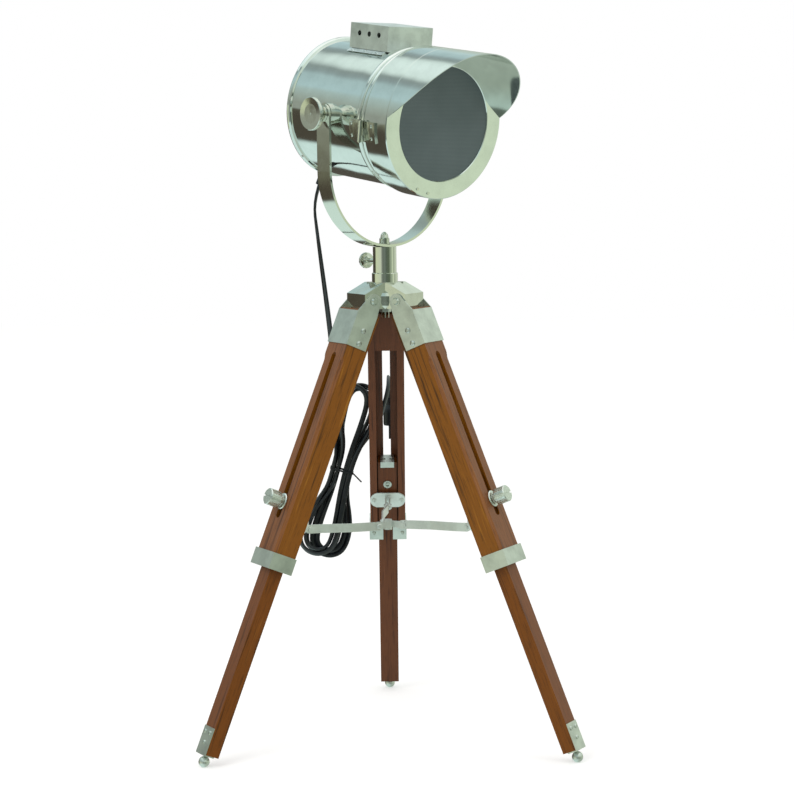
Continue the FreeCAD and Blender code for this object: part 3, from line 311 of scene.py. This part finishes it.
def knurled_steel():
    """Mild steel, turned, with a straight knurl about 1 mm from ridge to ridge, nickel plated:
    the ridges break the reflection into a sparkle. Ridges are 1.3 mm apart."""
    material, tree = new_material("nickelled_steel_knurled")
    where = add_node(tree, "ShaderNodeTexCoord")
    cells = add_node(tree, "ShaderNodeTexVoronoi", {"feature": "F1"}, {
        "Vector": where.outputs["Object"], "Scale": 760.0})
    bump = add_node(tree, "ShaderNodeBump", links={
        "Height": cells.outputs["Distance"], "Strength": 0.5, "Distance": 0.0003})
    # The pits of the knurl are tinted darker than the ridges: painted shade in the hollows.
    tint = ramp(tree, cells.outputs["Distance"], [(0.0, "#AEB4A8"), (0.6, "#E6E9E2")])
    shader = add_node(tree, "ShaderNodeBsdfPrincipled", links={
        "Base Color": tint.outputs["Color"], "Metallic": 1.0, "Roughness": 0.30, "Normal": bump.outputs[0]})
    close_material(tree, shader)
    return material


def lens_glass():
    """Float glass backed with a printed dot screen: a slate grey disc with a fine pale dot
    pattern and a weak reflection. Dots are about 1.6 mm apart."""
    material, tree = new_material("float_glass_dot_screen")
    where = add_node(tree, "ShaderNodeTexCoord")
    flat = add_node(tree, "ShaderNodeMapping", {"vector_type": "TEXTURE"}, {
        "Vector": where.outputs["Object"], "Rotation": tuple(HEAD_TURN), "Location": tuple(TILT_AXIS)})
    parts = add_node(tree, "ShaderNodeSeparateXYZ", links={"Vector": flat.outputs[0]})
    plane = add_node(tree, "ShaderNodeCombineXYZ", links={"X": parts.outputs["Y"], "Y": parts.outputs["Z"]})
    cells = add_node(tree, "ShaderNodeTexVoronoi", {"feature": "F1", "voronoi_dimensions": "2D"}, {
        "Vector": plane.outputs[0], "Scale": 620.0, "Randomness": 0.0})
    dots = ramp(tree, cells.outputs["Distance"], [(0.18, "#63716F"), (0.42, "#546163"), (0.60, "#4B585A")])
    cloud = add_node(tree, "ShaderNodeTexNoise", links={"Vector": plane.outputs[0], "Scale": 14.0, "Detail": 2.0})
    haze = ramp(tree, cloud.outputs["Fac"], [(0.3, "#E2E6E6"), (0.7, "#FFFFFF")])
    colour = add_node(tree, "ShaderNodeMix", {"data_type": "RGBA", "blend_type": "MULTIPLY"}, {
        "Factor": 1.0, 6: dots.outputs["Color"], 7: haze.outputs["Color"]})
    shader = add_node(tree, "ShaderNodeBsdfPrincipled", links={
        "Base Color": colour.outputs[2], "Roughness": 0.42, "Coat Weight": 0.25,
        "Coat Roughness": 0.12, "Specular IOR Level": 0.35})
    close_material(tree, shader)
    return material


def flex_sheath():
    """Flexible vinyl, extruded over two cores: near black, smooth, with soft long highlights."""
    flex = bpy.context.scene.spot_flex
    material, tree = new_material("vinyl_extruded_black")
    where = add_node(tree, "ShaderNodeTexCoord")
    noise = add_node(tree, "ShaderNodeTexNoise", links={
        "Vector": where.outputs["Object"], "Scale": 160.0, "Detail": 3.0})
    tint = ramp(tree, noise.outputs["Fac"], [(0.35, flex.colour), (0.7, "#1B2026")])
    bump = add_node(tree, "ShaderNodeBump", links={
        "Height": noise.outputs["Fac"], "Strength": 0.15, "Distance": 0.0004})
    shader = add_node(tree, "ShaderNodeBsdfPrincipled", links={
        "Base Color": tint.outputs["Color"], "Roughness": 0.30, "Normal": bump.outputs[0],
        "Specular IOR Level": 0.6})
    close_material(tree, shader)
    return material


def moulded_plastic(name, dark, pale, roughness):
    """Moulded plastic: even colour, a fine spark texture of about 0.4 mm."""
    material, tree = new_material(name)
    where = add_node(tree, "ShaderNodeTexCoord")
    noise = add_node(tree, "ShaderNodeTexNoise", links={
        "Vector": where.outputs["Object"], "Scale": 900.0, "Detail": 2.0})
    tint = ramp(tree, noise.outputs["Fac"], [(0.35, dark), (0.7, pale)])
    bump = add_node(tree, "ShaderNodeBump", links={
        "Height": noise.outputs["Fac"], "Strength": 0.2, "Distance": 0.0002})
    shader = add_node(tree, "ShaderNodeBsdfPrincipled", links={
        "Base Color": tint.outputs["Color"], "Roughness": roughness, "Normal": bump.outputs[0]})
    close_material(tree, shader)
    return material


def opal_glass():
    """Blown glass, opal coated inside: white, smooth, faintly translucent."""
    material, tree = new_material("opal_glass_blown")
    where = add_node(tree, "ShaderNodeTexCoord")
    noise = add_node(tree, "ShaderNodeTexNoise", links={"Vector": where.outputs["Object"], "Scale": 60.0})
    tint = ramp(tree, noise.outputs["Fac"], [(0.3, "#EAE8E0"), (0.7, "#F6F5F0")])
    shader = add_node(tree, "ShaderNodeBsdfPrincipled", links={
        "Base Color": tint.outputs["Color"], "Roughness": 0.12, "Specular IOR Level": 0.5})
    close_material(tree, shader)
    return material


# ------------------------------------------------------------------ stage
def surroundings():
    """World: white to the camera, level white light on the object, and for mirrors the studio
    that polished metal shows: pale sweep below, dark and pale screens all round at eye level,
    grey-blue walls and a bright ceiling."""
    stage = bpy.context.scene.spot_stage
    world = bpy.data.worlds.new("studio")
    bpy.context.scene.world = world
    world.use_nodes = True
    tree = world.node_tree
    tree.nodes.clear()
    where = add_node(tree, "ShaderNodeTexCoord")
    parts = add_node(tree, "ShaderNodeSeparateXYZ", links={"Vector": where.outputs["Generated"]})
    height = add_node(tree, "ShaderNodeMapRange", links={
        "Value": parts.outputs["Z"], "From Min": -1.0, "From Max": 1.0})
    lean = add_node(tree, "ShaderNodeMath", {"operation": "MULTIPLY"}, {0: parts.outputs["Y"], 1: -1.0})
    round_angle = add_node(tree, "ShaderNodeMath", {"operation": "ARCTAN2"}, {
        0: parts.outputs["X"], 1: lean.outputs[0]})
    compass = add_node(tree, "ShaderNodeMapRange", links={
        "Value": round_angle.outputs[0], "From Min": -math.pi, "From Max": math.pi})
    # Round the room at eye level: dark stand, pale screens and windows between them
    waist_high = ramp(tree, compass.outputs[0], [
        (0.0, "#4A4740"), (0.214, "#474239"), (0.229, "#B9C2A6"), (0.26, "#C4CDB2"), (0.395, "#BDC5B6"),
        (0.42, "#8A9189"), (0.447, "#646D67"), (0.505, "#69746D"), (0.535, "#535E56"), (0.615, "#54604F"),
        (0.644, "#818E7D"), (0.70, "#A0AD9B"), (0.722, "#C2CFB8"), (0.738, "#C6D2BC"), (0.752, "#8F988A"),
        (0.775, "#A6B1A0"), (0.85, "#BCC6B6"), (0.91, "#C5CAC3"), (0.97, "#A9B0A4"), (1.0, "#5A5850")])
    # From the screens' top edge to the ceiling, at the left and behind
    overhead = ramp(tree, height.outputs[0], [
        (0.0, "#8E948C"), (0.512, "#8E948C"), (0.56, "#8D938A"), (0.62, "#98A39C"), (0.69, "#A2B4B2"),
        (0.72, "#A8C0C4"), (0.80, "#A2B8BB"), (0.822, "#8A999B"), (0.843, "#84908F"), (0.858, "#D2E2DF"),
        (0.93, "#E6F3F5"), (1.0, "#FFFFFF")])
    bright_side = ramp(tree, height.outputs[0], [
        (0.0, "#B4C0B0"), (0.51, "#B4C0B0"), (0.65, "#C2CEC2"), (0.85, "#D6E4DE"), (1.0, "#FFFFFF")])
    across = add_node(tree, "ShaderNodeMapRange", {"interpolation_type": "SMOOTHSTEP"}, {
        "Value": parts.outputs["X"], "From Min": -0.10, "From Max": 0.25})
    upper = add_node(tree, "ShaderNodeMix", {"data_type": "RGBA"}, {
        "Factor": across.outputs[0], 6: overhead.outputs["Color"], 7: bright_side.outputs["Color"]})
    sweep = add_node(tree, "ShaderNodeMix", {"data_type": "RGBA"}, {
        "Factor": across.outputs[0], 6: linear("#C6DBD8"), 7: linear("#AAB6AD")})
    rise = add_node(tree, "ShaderNodeMapRange", {"interpolation_type": "SMOOTHSTEP"}, {
        "Value": height.outputs[0], "From Min": 0.4945, "From Max": 0.514})
    sink = add_node(tree, "ShaderNodeMapRange", {"interpolation_type": "SMOOTHSTEP"}, {
        "Value": height.outputs[0], "From Min": 0.262, "From Max": 0.284})
    room = add_node(tree, "ShaderNodeMix", {"data_type": "RGBA"}, {
        "Factor": rise.outputs[0], 6: waist_high.outputs["Color"], 7: upper.outputs[2]})
    mirror = add_node(tree, "ShaderNodeMix", {"data_type": "RGBA"}, {
        "Factor": sink.outputs[0], 6: sweep.outputs[2], 7: room.outputs[2]})
    path = add_node(tree, "ShaderNodeLightPath")
    shiny = add_node(tree, "ShaderNodeMath", {"operation": "MAXIMUM"}, {
        0: path.outputs["Is Glossy Ray"], 1: path.outputs["Is Transmission Ray"]})
    level = add_node(tree, "ShaderNodeBackground", links={"Color": linear("#FFFFFF"), "Strength": stage.sky_level})
    reflected = add_node(tree, "ShaderNodeBackground", links={"Color": mirror.outputs[2], "Strength": 1.36})
    white = add_node(tree, "ShaderNodeBackground", links={"Color": (1, 1, 1, 1), "Strength": 1.0})
    first = add_node(tree, "ShaderNodeMixShader", links={
        0: shiny.outputs[0], 1: level.outputs[0], 2: reflected.outputs[0]})
    second = add_node(tree, "ShaderNodeMixShader", links={
        0: path.outputs["Is Camera Ray"], 1: first.outputs[0], 2: white.outputs[0]})
    add_node(tree, "ShaderNodeOutputWorld", links={"Surface": second.outputs[0]})


def paper_floor():
    """Seamless paper: matt white, keeps the soft shadow under the feet."""
    bpy.ops.mesh.primitive_plane_add(size=14.0, location=(0, 0, 0))
    floor = bpy.context.object
    floor.name = "paper_floor"
    material, tree = new_material("paper_seamless_white")
    path = add_node(tree, "ShaderNodeLightPath")
    matt = add_node(tree, "ShaderNodeBsdfDiffuse", links={"Color": linear("#E8E8E6")})
    glow = add_node(tree, "ShaderNodeEmission", links={"Color": (1, 1, 1, 1), "Strength": 0.375})
    lit = add_node(tree, "ShaderNodeAddShader", links={0: matt.outputs[0], 1: glow.outputs[0]})
    plain = add_node(tree, "ShaderNodeBsdfDiffuse", links={"Color": linear("#DADAD8")})
    seen = add_node(tree, "ShaderNodeMixShader", links={
        0: path.outputs["Is Camera Ray"], 1: plain.outputs[0], 2: lit.outputs[0]})
    close_material(tree, seen)
    floor.data.materials.append(material)
    floor.visible_glossy = False


def soft_lamp(name, place, target, size, power):
    data = bpy.data.lights.new(name, "AREA")
    data.shape = "DISK"
    data.size = size
    data.energy = power
    lamp = bpy.data.objects.new(name, data)
    bpy.context.scene.collection.objects.link(lamp)
    lamp.location = place
    lamp.rotation_euler = (Vector(target) - Vector(place)).to_track_quat("-Z", "Y").to_euler()
    lamp.visible_glossy = False


class SPOT_OT_stage(bpy.types.Operator):
    """Camera, world, floor and lamps"""
    bl_idname = "spotlight.stage"
    bl_label = "Stage"

    def execute(self, context):
        stage = context.scene.spot_stage
        data = bpy.data.cameras.new("camera")
        data.sensor_width = 36.0
        data.lens = stage.focal_length
        data.clip_end = 60.0
        camera = bpy.data.objects.new("camera", data)
        context.scene.collection.objects.link(camera)
        turn = Matrix.Rotation(-stage.camera_pan, 4, "Z")
        turn = turn @ Matrix.Rotation(math.pi / 2 - stage.camera_pitch, 4, "X")
        turn = turn @ Matrix.Rotation(-stage.camera_roll, 4, "Z")
        camera.matrix_world = Matrix.Translation((0, -stage.camera_distance, stage.camera_height)) @ turn
        context.scene.camera = camera
        context.scene.view_settings.view_transform = "Standard"
        surroundings()
        paper_floor()
        soft_lamp("key", (-1.6, -1.9, 2.6), (0, 0, 0.45), 1.8, stage.key_power)
        soft_lamp("fill", (2.2, -1.2, 1.4), (0, 0, 0.5), 1.6, stage.fill_power)
        return {"FINISHED"}


# ------------------------------------------------------------------ pieces
class SPOT_OT_timber(bpy.types.Operator):
    """Stained timbers of the three legs"""
    bl_idname = "spotlight.timber"
    bl_label = "Timber legs"

    def execute(self, context):
        edge = context.scene.spot_timber.edge
        for side in LEGS:
            dress(["upper_leg_" + side], sheesham(side))
            dress(["lower_leg_" + side], sheesham(side, lower=True))
            soften(["upper_leg_" + side, "lower_leg_" + side], edge)
        return {"FINISHED"}


class SPOT_OT_fittings(bpy.types.Operator):
    """Ferrules, brackets, straps, feet and leg knobs"""
    bl_idname = "spotlight.fittings"
    bl_label = "Leg fittings"

    def execute(self, context):
        colours = context.scene.spot_metal
        # Zinc-plated mild steel, folded and satin finished: soft grey-green sheen, faint clouding
        satin = metal("zinc_plated_steel_satin", colours.satin, 0.36, wave=0.0002, wave_size=0.03,
                      grain=0.00012, grain_scale=(1, 1, 3), tone=0.12)
        # Bright zinc on rolled strip, rubbed dull by handling: pale, wide soft sheen
        strip = metal("zinc_plated_strip_dull", "#F2F4F0", 0.55, grain=0.0001, grain_scale=(1, 1, 3), tone=0.06)
        names = []
        for side in LEGS:
            names += ["top_ferrule_" + side, "bottom_ferrule_" + side, "strap_bracket_" + side,
                      "lower_fittings_" + side, "strap_" + side]
        names.append("spreader_centre")
        dress(names, satin)
        dress([n for n in names if n.startswith("strap_") or n == "spreader_centre"], strip)
        smooth_faces(names)
        soften([n for n in names if "ferrule" in n], 0.0004, 50.0)
        knurl = knurled_steel()
        knobs = ["leg_knob_" + side for side in LEGS]
        dress(knobs, knurl)
        smooth_faces(knobs)
        return {"FINISHED"}


class SPOT_OT_hub(bpy.types.Operator):
    """Hub casting, spindle, sleeve, nuts and pivot bolts"""
    bl_idname = "spotlight.hub"
    bl_label = "Hub"

    def execute(self, context):
        colours = context.scene.spot_metal
        # Cast alloy, polished and nickel plated: warm mirror with a slight ripple from the casting
        plate = metal("nickel_plated_casting", colours.nickel, 0.10, wave=0.0008, wave_size=0.02, tone=0.06)
        turned = metal("nickel_plated_turned", colours.nickel, 0.08, wave=0.0001, wave_size=0.02)
        steel = metal("steel_bright_zinc", "#C9CEC7", 0.22, grain=0.0001)
        dress(["hub_casting"], plate)
        dress(["spindle", "yoke_sleeve", "dome_nut", "pan_screw"], turned)
        dress(["hub_nut", "pivot_bolts"], steel)
        smooth_faces(["hub_casting", "spindle", "yoke_sleeve", "dome_nut", "pan_screw", "hub_nut", "pivot_bolts"])
        soften(["hub_casting"], 0.0020, 25.0, 3)
        return {"FINISHED"}


class SPOT_OT_head(bpy.types.Operator):
    """Drum, yoke, tilt knobs and vent hood"""
    bl_idname = "spotlight.head"
    bl_label = "Head"

    def execute(self, context):
        colours = context.scene.spot_metal
        # Stainless sheet, spun and buffed: a clear mirror with a faint ripple from the rollers
        shell = metal("stainless_sheet_buffed", colours.polished, 0.07, wave=0.0003, wave_size=0.05, tone=0.04)
        strap = metal("stainless_strip_polished", colours.nickel, 0.10, wave=0.0002, wave_size=0.04)
        knob = metal("nickel_plated_knob", colours.nickel, 0.14, wave=0.0002, wave_size=0.015, tone=0.05)
        vent = metal("aluminium_sheet_folded", colours.vent, 0.42, grain=0.00018,
                     grain_scale=(1, 1, 6), tone=0.12)
        dress(["drum_shell"], shell)
        dress(["yoke"], strap)
        dress(["tilt_knob_near", "tilt_knob_far", "tilt_spacers", "tilt_studs"], knob)
        dress(["vent_hood", "vent_rivets"], vent)
        dress(["cable_gland"], moulded_plastic("nylon_moulded_black", "#121315", "#22252A", 0.45))
        smooth_faces(["drum_shell", "yoke", "tilt_knob_near", "tilt_knob_far", "tilt_spacers",
                      "tilt_studs", "vent_rivets", "cable_gland"])
        soften(["vent_hood"], 0.0006, 40.0)
        soften(["yoke"], 0.0004, 50.0)
        return {"FINISHED"}


class SPOT_OT_door(bpy.types.Operator):
    """Door ring, visor, lens, hinge and catch"""
    bl_idname = "spotlight.door"
    bl_label = "Door"

    def execute(self, context):
        colours = context.scene.spot_metal
        ring = metal("stainless_ring_buffed", colours.polished, 0.08, wave=0.0005, wave_size=0.045, tone=0.04)
        visor = metal("stainless_visor_buffed", colours.polished, 0.09, wave=0.0004, wave_size=0.06, tone=0.04)
        hinge = metal("nickel_plated_hinge", colours.nickel, 0.16, wave=0.0003, wave_size=0.01, tone=0.08)
        dress(["door_ring"], ring)
        dress(["visor"], visor)
        dress(["hinge_leaf_drum", "hinge_leaf_door", "door_catch", "head_screws", "door_screws"], hinge)
        dress(["lens"], lens_glass())
        dress(["lens_ring"], metal("spring_steel_ring", "#9AA19A", 0.3, tone=0.1))
        smooth_faces(["door_ring", "visor", "lens", "lens_ring", "hinge_leaf_drum", "hinge_leaf_door",
                      "door_catch", "head_screws", "door_screws"])
        return {"FINISHED"}


class SPOT_OT_lamp(bpy.types.Operator):
    """Reflector, lamp holder and bulb inside the drum"""
    bl_idname = "spotlight.lamp"
    bl_label = "Lamp"

    def execute(self, context):
        dress(["reflector"], metal("aluminium_spun_reflector", "#D5D8D6", 0.22, grain=0.0001, tone=0.05))
        dress(["lamp_holder"], moulded_plastic("phenolic_moulded_black", "#151515", "#2A2826", 0.5))
        dress(["bulb"], opal_glass())
        smooth_faces(["reflector", "lamp_holder", "bulb"])
        return {"FINISHED"}


def hank_point(length, width, depth):
    along = Vector((math.sin(HANK_LEAN), 0.0, math.cos(HANK_LEAN)))
    sideways = Vector((math.cos(HANK_LEAN), 0.0, -math.sin(HANK_LEAN)))
    return HANK_MIDDLE + along * length + sideways * width + Vector((0.0, depth, 0.0))


def loop_end(end, width, layer):
    """Where a loop's side meets its end turn; each layer lies a little to the side."""
    return hank_point(end * HANK_HALF, width + (layer - 1) * LAYER_STAGGER, (layer - 1) * LAYER_STEP)


def waist(width, layer):
    """A loop's side where the tie draws it in."""
    return hank_point(0.0, math.copysign(abs(width) - HANK_DRAW, width), (layer - 1) * LAYER_STEP)


def side_run(start, end):
    """Half a side between its end and the waist, straight off at both ends."""
    along = (hank_point(1.0, 0.0, 0.0) - HANK_MIDDLE)
    reach = along * ((end - start).dot(along) * 0.25)
    return [start + reach, end - reach]


def end_turn(end, before, after, layer):
    """Half turn from one side to the next, as the corners round a circle."""
    first = loop_end(end, before, layer)
    last = loop_end(end, after, layer)
    centre = (first + last) / 2
    arm = (first - last) / 2
    rise = (hank_point(end, 0.0, 0.0) - HANK_MIDDLE) * arm.length
    corners = []
    for degrees in (22.5, 67.5, 112.5, 157.5):
        turn = math.radians(degrees)
        corners.append(centre + (arm * math.cos(turn) + rise * math.sin(turn)) / math.cos(math.pi / 8))
    return corners


def hank_points():
    """Ten passes in three layers: place in the loop, layer it starts in, layer it ends in."""
    inner, outer = HANK_INNER, HANK_OUTER
    passes = [(-inner, 0, 0), (inner, 0, 0), (-outer, 0, 0), (outer, 0, 1), (-outer, 1, 1),
              (inner, 1, 1), (-inner, 1, 2), (inner, 2, 2), (-outer, 2, 2), (outer, 2, 2)]
    points = []
    way = -1
    for index, (width, first, last) in enumerate(passes):
        if index > 0:
            points += side_run(loop_end(-way, width, first), waist(width, first))
        points += side_run(waist(width, first), loop_end(way, width, last))
        if index + 1 < len(passes):
            points += end_turn(way, width, passes[index + 1][0], last)
        way = -way
    return points


def flex_points():
    """The flex from the gland, round the hank and up to the plug."""
    slope = math.radians(63.5)
    gland = in_head(-0.060, -0.0882 * math.cos(slope), -0.0882 * math.sin(slope))
    bend = in_head(-0.060, -0.126 * math.cos(slope), -0.126 * math.sin(slope))
    along = hank_point(1.0, 0.0, 0.0) - HANK_MIDDLE
    entry = waist(-HANK_INNER, 0)
    leave = loop_end(1, HANK_OUTER, 2)
    points = [
        gland, bend,
        Vector((-0.0855, 0.0265, 0.650)), Vector((-0.0805, 0.0320, 0.606)),
        Vector((-0.0755, 0.0420, 0.561)), Vector((-0.0710, 0.0560, 0.516)),
        Vector((-0.0675, 0.0735, 0.471)), Vector((-0.0630, 0.0930, 0.430)),
        Vector((-0.0605, 0.1120, 0.394)), entry + along * 0.031, entry,
    ]
    points += hank_points()
    points += [
        leave, leave + along * 0.028,
        Vector((0.0035, 0.1505, 0.4520)), Vector((0.0041, 0.1664, 0.4525)),
        Vector((0.0044, 0.1778, 0.4415)), Vector((0.0045, 0.1782, 0.4160)),
    ]
    return points


def smooth_line(points):
    """Points along the NURBS line that has these control points."""
    data = bpy.data.curves.new("route", "CURVE")
    data.dimensions = "3D"
    data.resolution_u = 6
    spline = data.splines.new("NURBS")
    spline.points.add(len(points) - 1)
    for slot, point in zip(spline.points, points):
        slot.co = (*point, 1.0)
    spline.order_u = 3
    spline.use_endpoint_u = True
    holder = bpy.data.objects.new("route", data)
    bpy.context.scene.collection.objects.link(holder)
    bpy.context.view_layer.update()
    mesh = bpy.data.meshes.new_from_object(holder.evaluated_get(bpy.context.evaluated_depsgraph_get()))
    line = [v.co.copy() for v in mesh.vertices]
    bpy.data.objects.remove(holder)
    bpy.data.meshes.remove(mesh)
    return line


def twin_flex(name, line, start_angle, material):
    """Flat two-core flex along a line, turning slowly about it."""
    flex = bpy.context.scene.spot_flex
    half = flex.thickness / 2
    offset = flex.width / 2 - half
    section = []
    for k in range(12):
        a = math.radians(k * 30.0)
        lobe = offset if math.cos(a) > 0.01 else (-offset if math.cos(a) < -0.01 else 0.0)
        pinch = 0.80 if abs(math.cos(a)) < 0.01 else 1.0
        section.append((lobe + half * math.cos(a), half * math.sin(a) * pinch))
    vertices, faces = [], []
    up = Vector((0.0, 1.0, 0.0))
    travelled = 0.0
    previous = None
    for index, point in enumerate(line):
        ahead = line[min(index + 1, len(line) - 1)] - line[max(index - 1, 0)]
        ahead.normalize()
        up = (up - ahead * up.dot(ahead)).normalized()
        across = ahead.cross(up)
        if previous is not None:
            travelled += (point - previous).length
        previous = point
        angle = start_angle + flex.twist * travelled
        first = across * math.cos(angle) + up * math.sin(angle)
        second = up * math.cos(angle) - across * math.sin(angle)
        for u, v in section:
            vertices.append(point + first * u + second * v)
    ring = len(section)
    for index in range(len(line) - 1):
        for k in range(ring):
            n = (k + 1) % ring
            faces.append((index * ring + k, index * ring + n, (index + 1) * ring + n, (index + 1) * ring + k))
    faces.append(tuple(reversed(range(ring))))
    faces.append(tuple(range((len(line) - 1) * ring, len(line) * ring)))
    data = bpy.data.meshes.new(name)
    data.from_pydata(vertices, [], faces)
    data.materials.append(material)
    for polygon in data.polygons:
        polygon.use_smooth = len(polygon.vertices) == 4
    data.update()
    piece = bpy.data.objects.new(name, data)
    bpy.context.scene.collection.objects.link(piece)
    return piece, start_angle + flex.twist * travelled


def first_below(line, height):
    return next(i for i, p in enumerate(line) if p.z < height)


class SPOT_OT_flex(bpy.types.Operator):
    """Lead, tied hank, free end and plug"""
    bl_idname = "spotlight.flex"
    bl_label = "Flex"

    def execute(self, context):
        sheath = flex_sheath()
        line = smooth_line(flex_points())
        upper_end = first_below(line, 0.652)
        middle_end = first_below(line, 0.470)
        upper, angle = twin_flex("flex_upper", line[:upper_end + 1], 1.2, sheath)
        middle, angle = twin_flex("flex_middle", line[upper_end:middle_end + 1], angle, sheath)
        lower, angle = twin_flex("flex_lower", line[middle_end:], angle, sheath)
        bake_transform(upper)
        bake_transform(middle)
        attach(lower, "crown")
        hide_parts("cord_lead")
        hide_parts("cord_hank", "cord_tail")
        dress(["cord_tie"], moulded_plastic("vinyl_tie_black", "#0E1013", "#1C2026", 0.4))
        dress(["plug"], moulded_plastic("vinyl_plug_black", "#111214", "#202328", 0.38))
        smooth_faces(["plug"])
        return {"FINISHED"}


class SPOT_PT_panel(bpy.types.Panel):
    bl_label = "Tripod Spotlight"
    bl_idname = "SPOT_PT_panel"
    bl_space_type = "VIEW_3D"
    bl_region_type = "UI"
    bl_category = "Spotlight"

    def draw(self, context):
        layout = self.layout
        scene = context.scene
        for title, group in (("Stage", scene.spot_stage), ("Timber", scene.spot_timber),
                             ("Metal", scene.spot_metal), ("Flex", scene.spot_flex)):
            box = layout.box()
            box.label(text=title)
            for key in group.__annotations__:
                box.prop(group, key)
        for operator in OPERATORS:
            layout.operator(operator.bl_idname)


GROUPS = (
    ("spot_stage", SpotlightStage), ("spot_timber", SpotlightTimber),
    ("spot_metal", SpotlightMetal), ("spot_flex", SpotlightFlex),
)
OPERATORS = (
    SPOT_OT_stage, SPOT_OT_flex, SPOT_OT_timber, SPOT_OT_fittings, SPOT_OT_hub, SPOT_OT_head,
    SPOT_OT_door, SPOT_OT_lamp,
)


def register():
    for name, group in GROUPS:
        bpy.utils.register_class(group)
        setattr(bpy.types.Scene, name, bpy.props.PointerProperty(type=group))
    for operator in OPERATORS:
        bpy.utils.register_class(operator)
    bpy.utils.register_class(SPOT_PT_panel)


def unregister():
    bpy.utils.unregister_class(SPOT_PT_panel)
    for operator in reversed(OPERATORS):
        bpy.utils.unregister_class(operator)
    for name, group in reversed(GROUPS):
        delattr(bpy.types.Scene, name)
        bpy.utils.unregister_class(group)


def main():
    register()
    for operator in OPERATORS:
        area, name = operator.bl_idname.split(".")
        getattr(getattr(bpy.ops, area), name)()


if __name__ == "__main__":
    main()
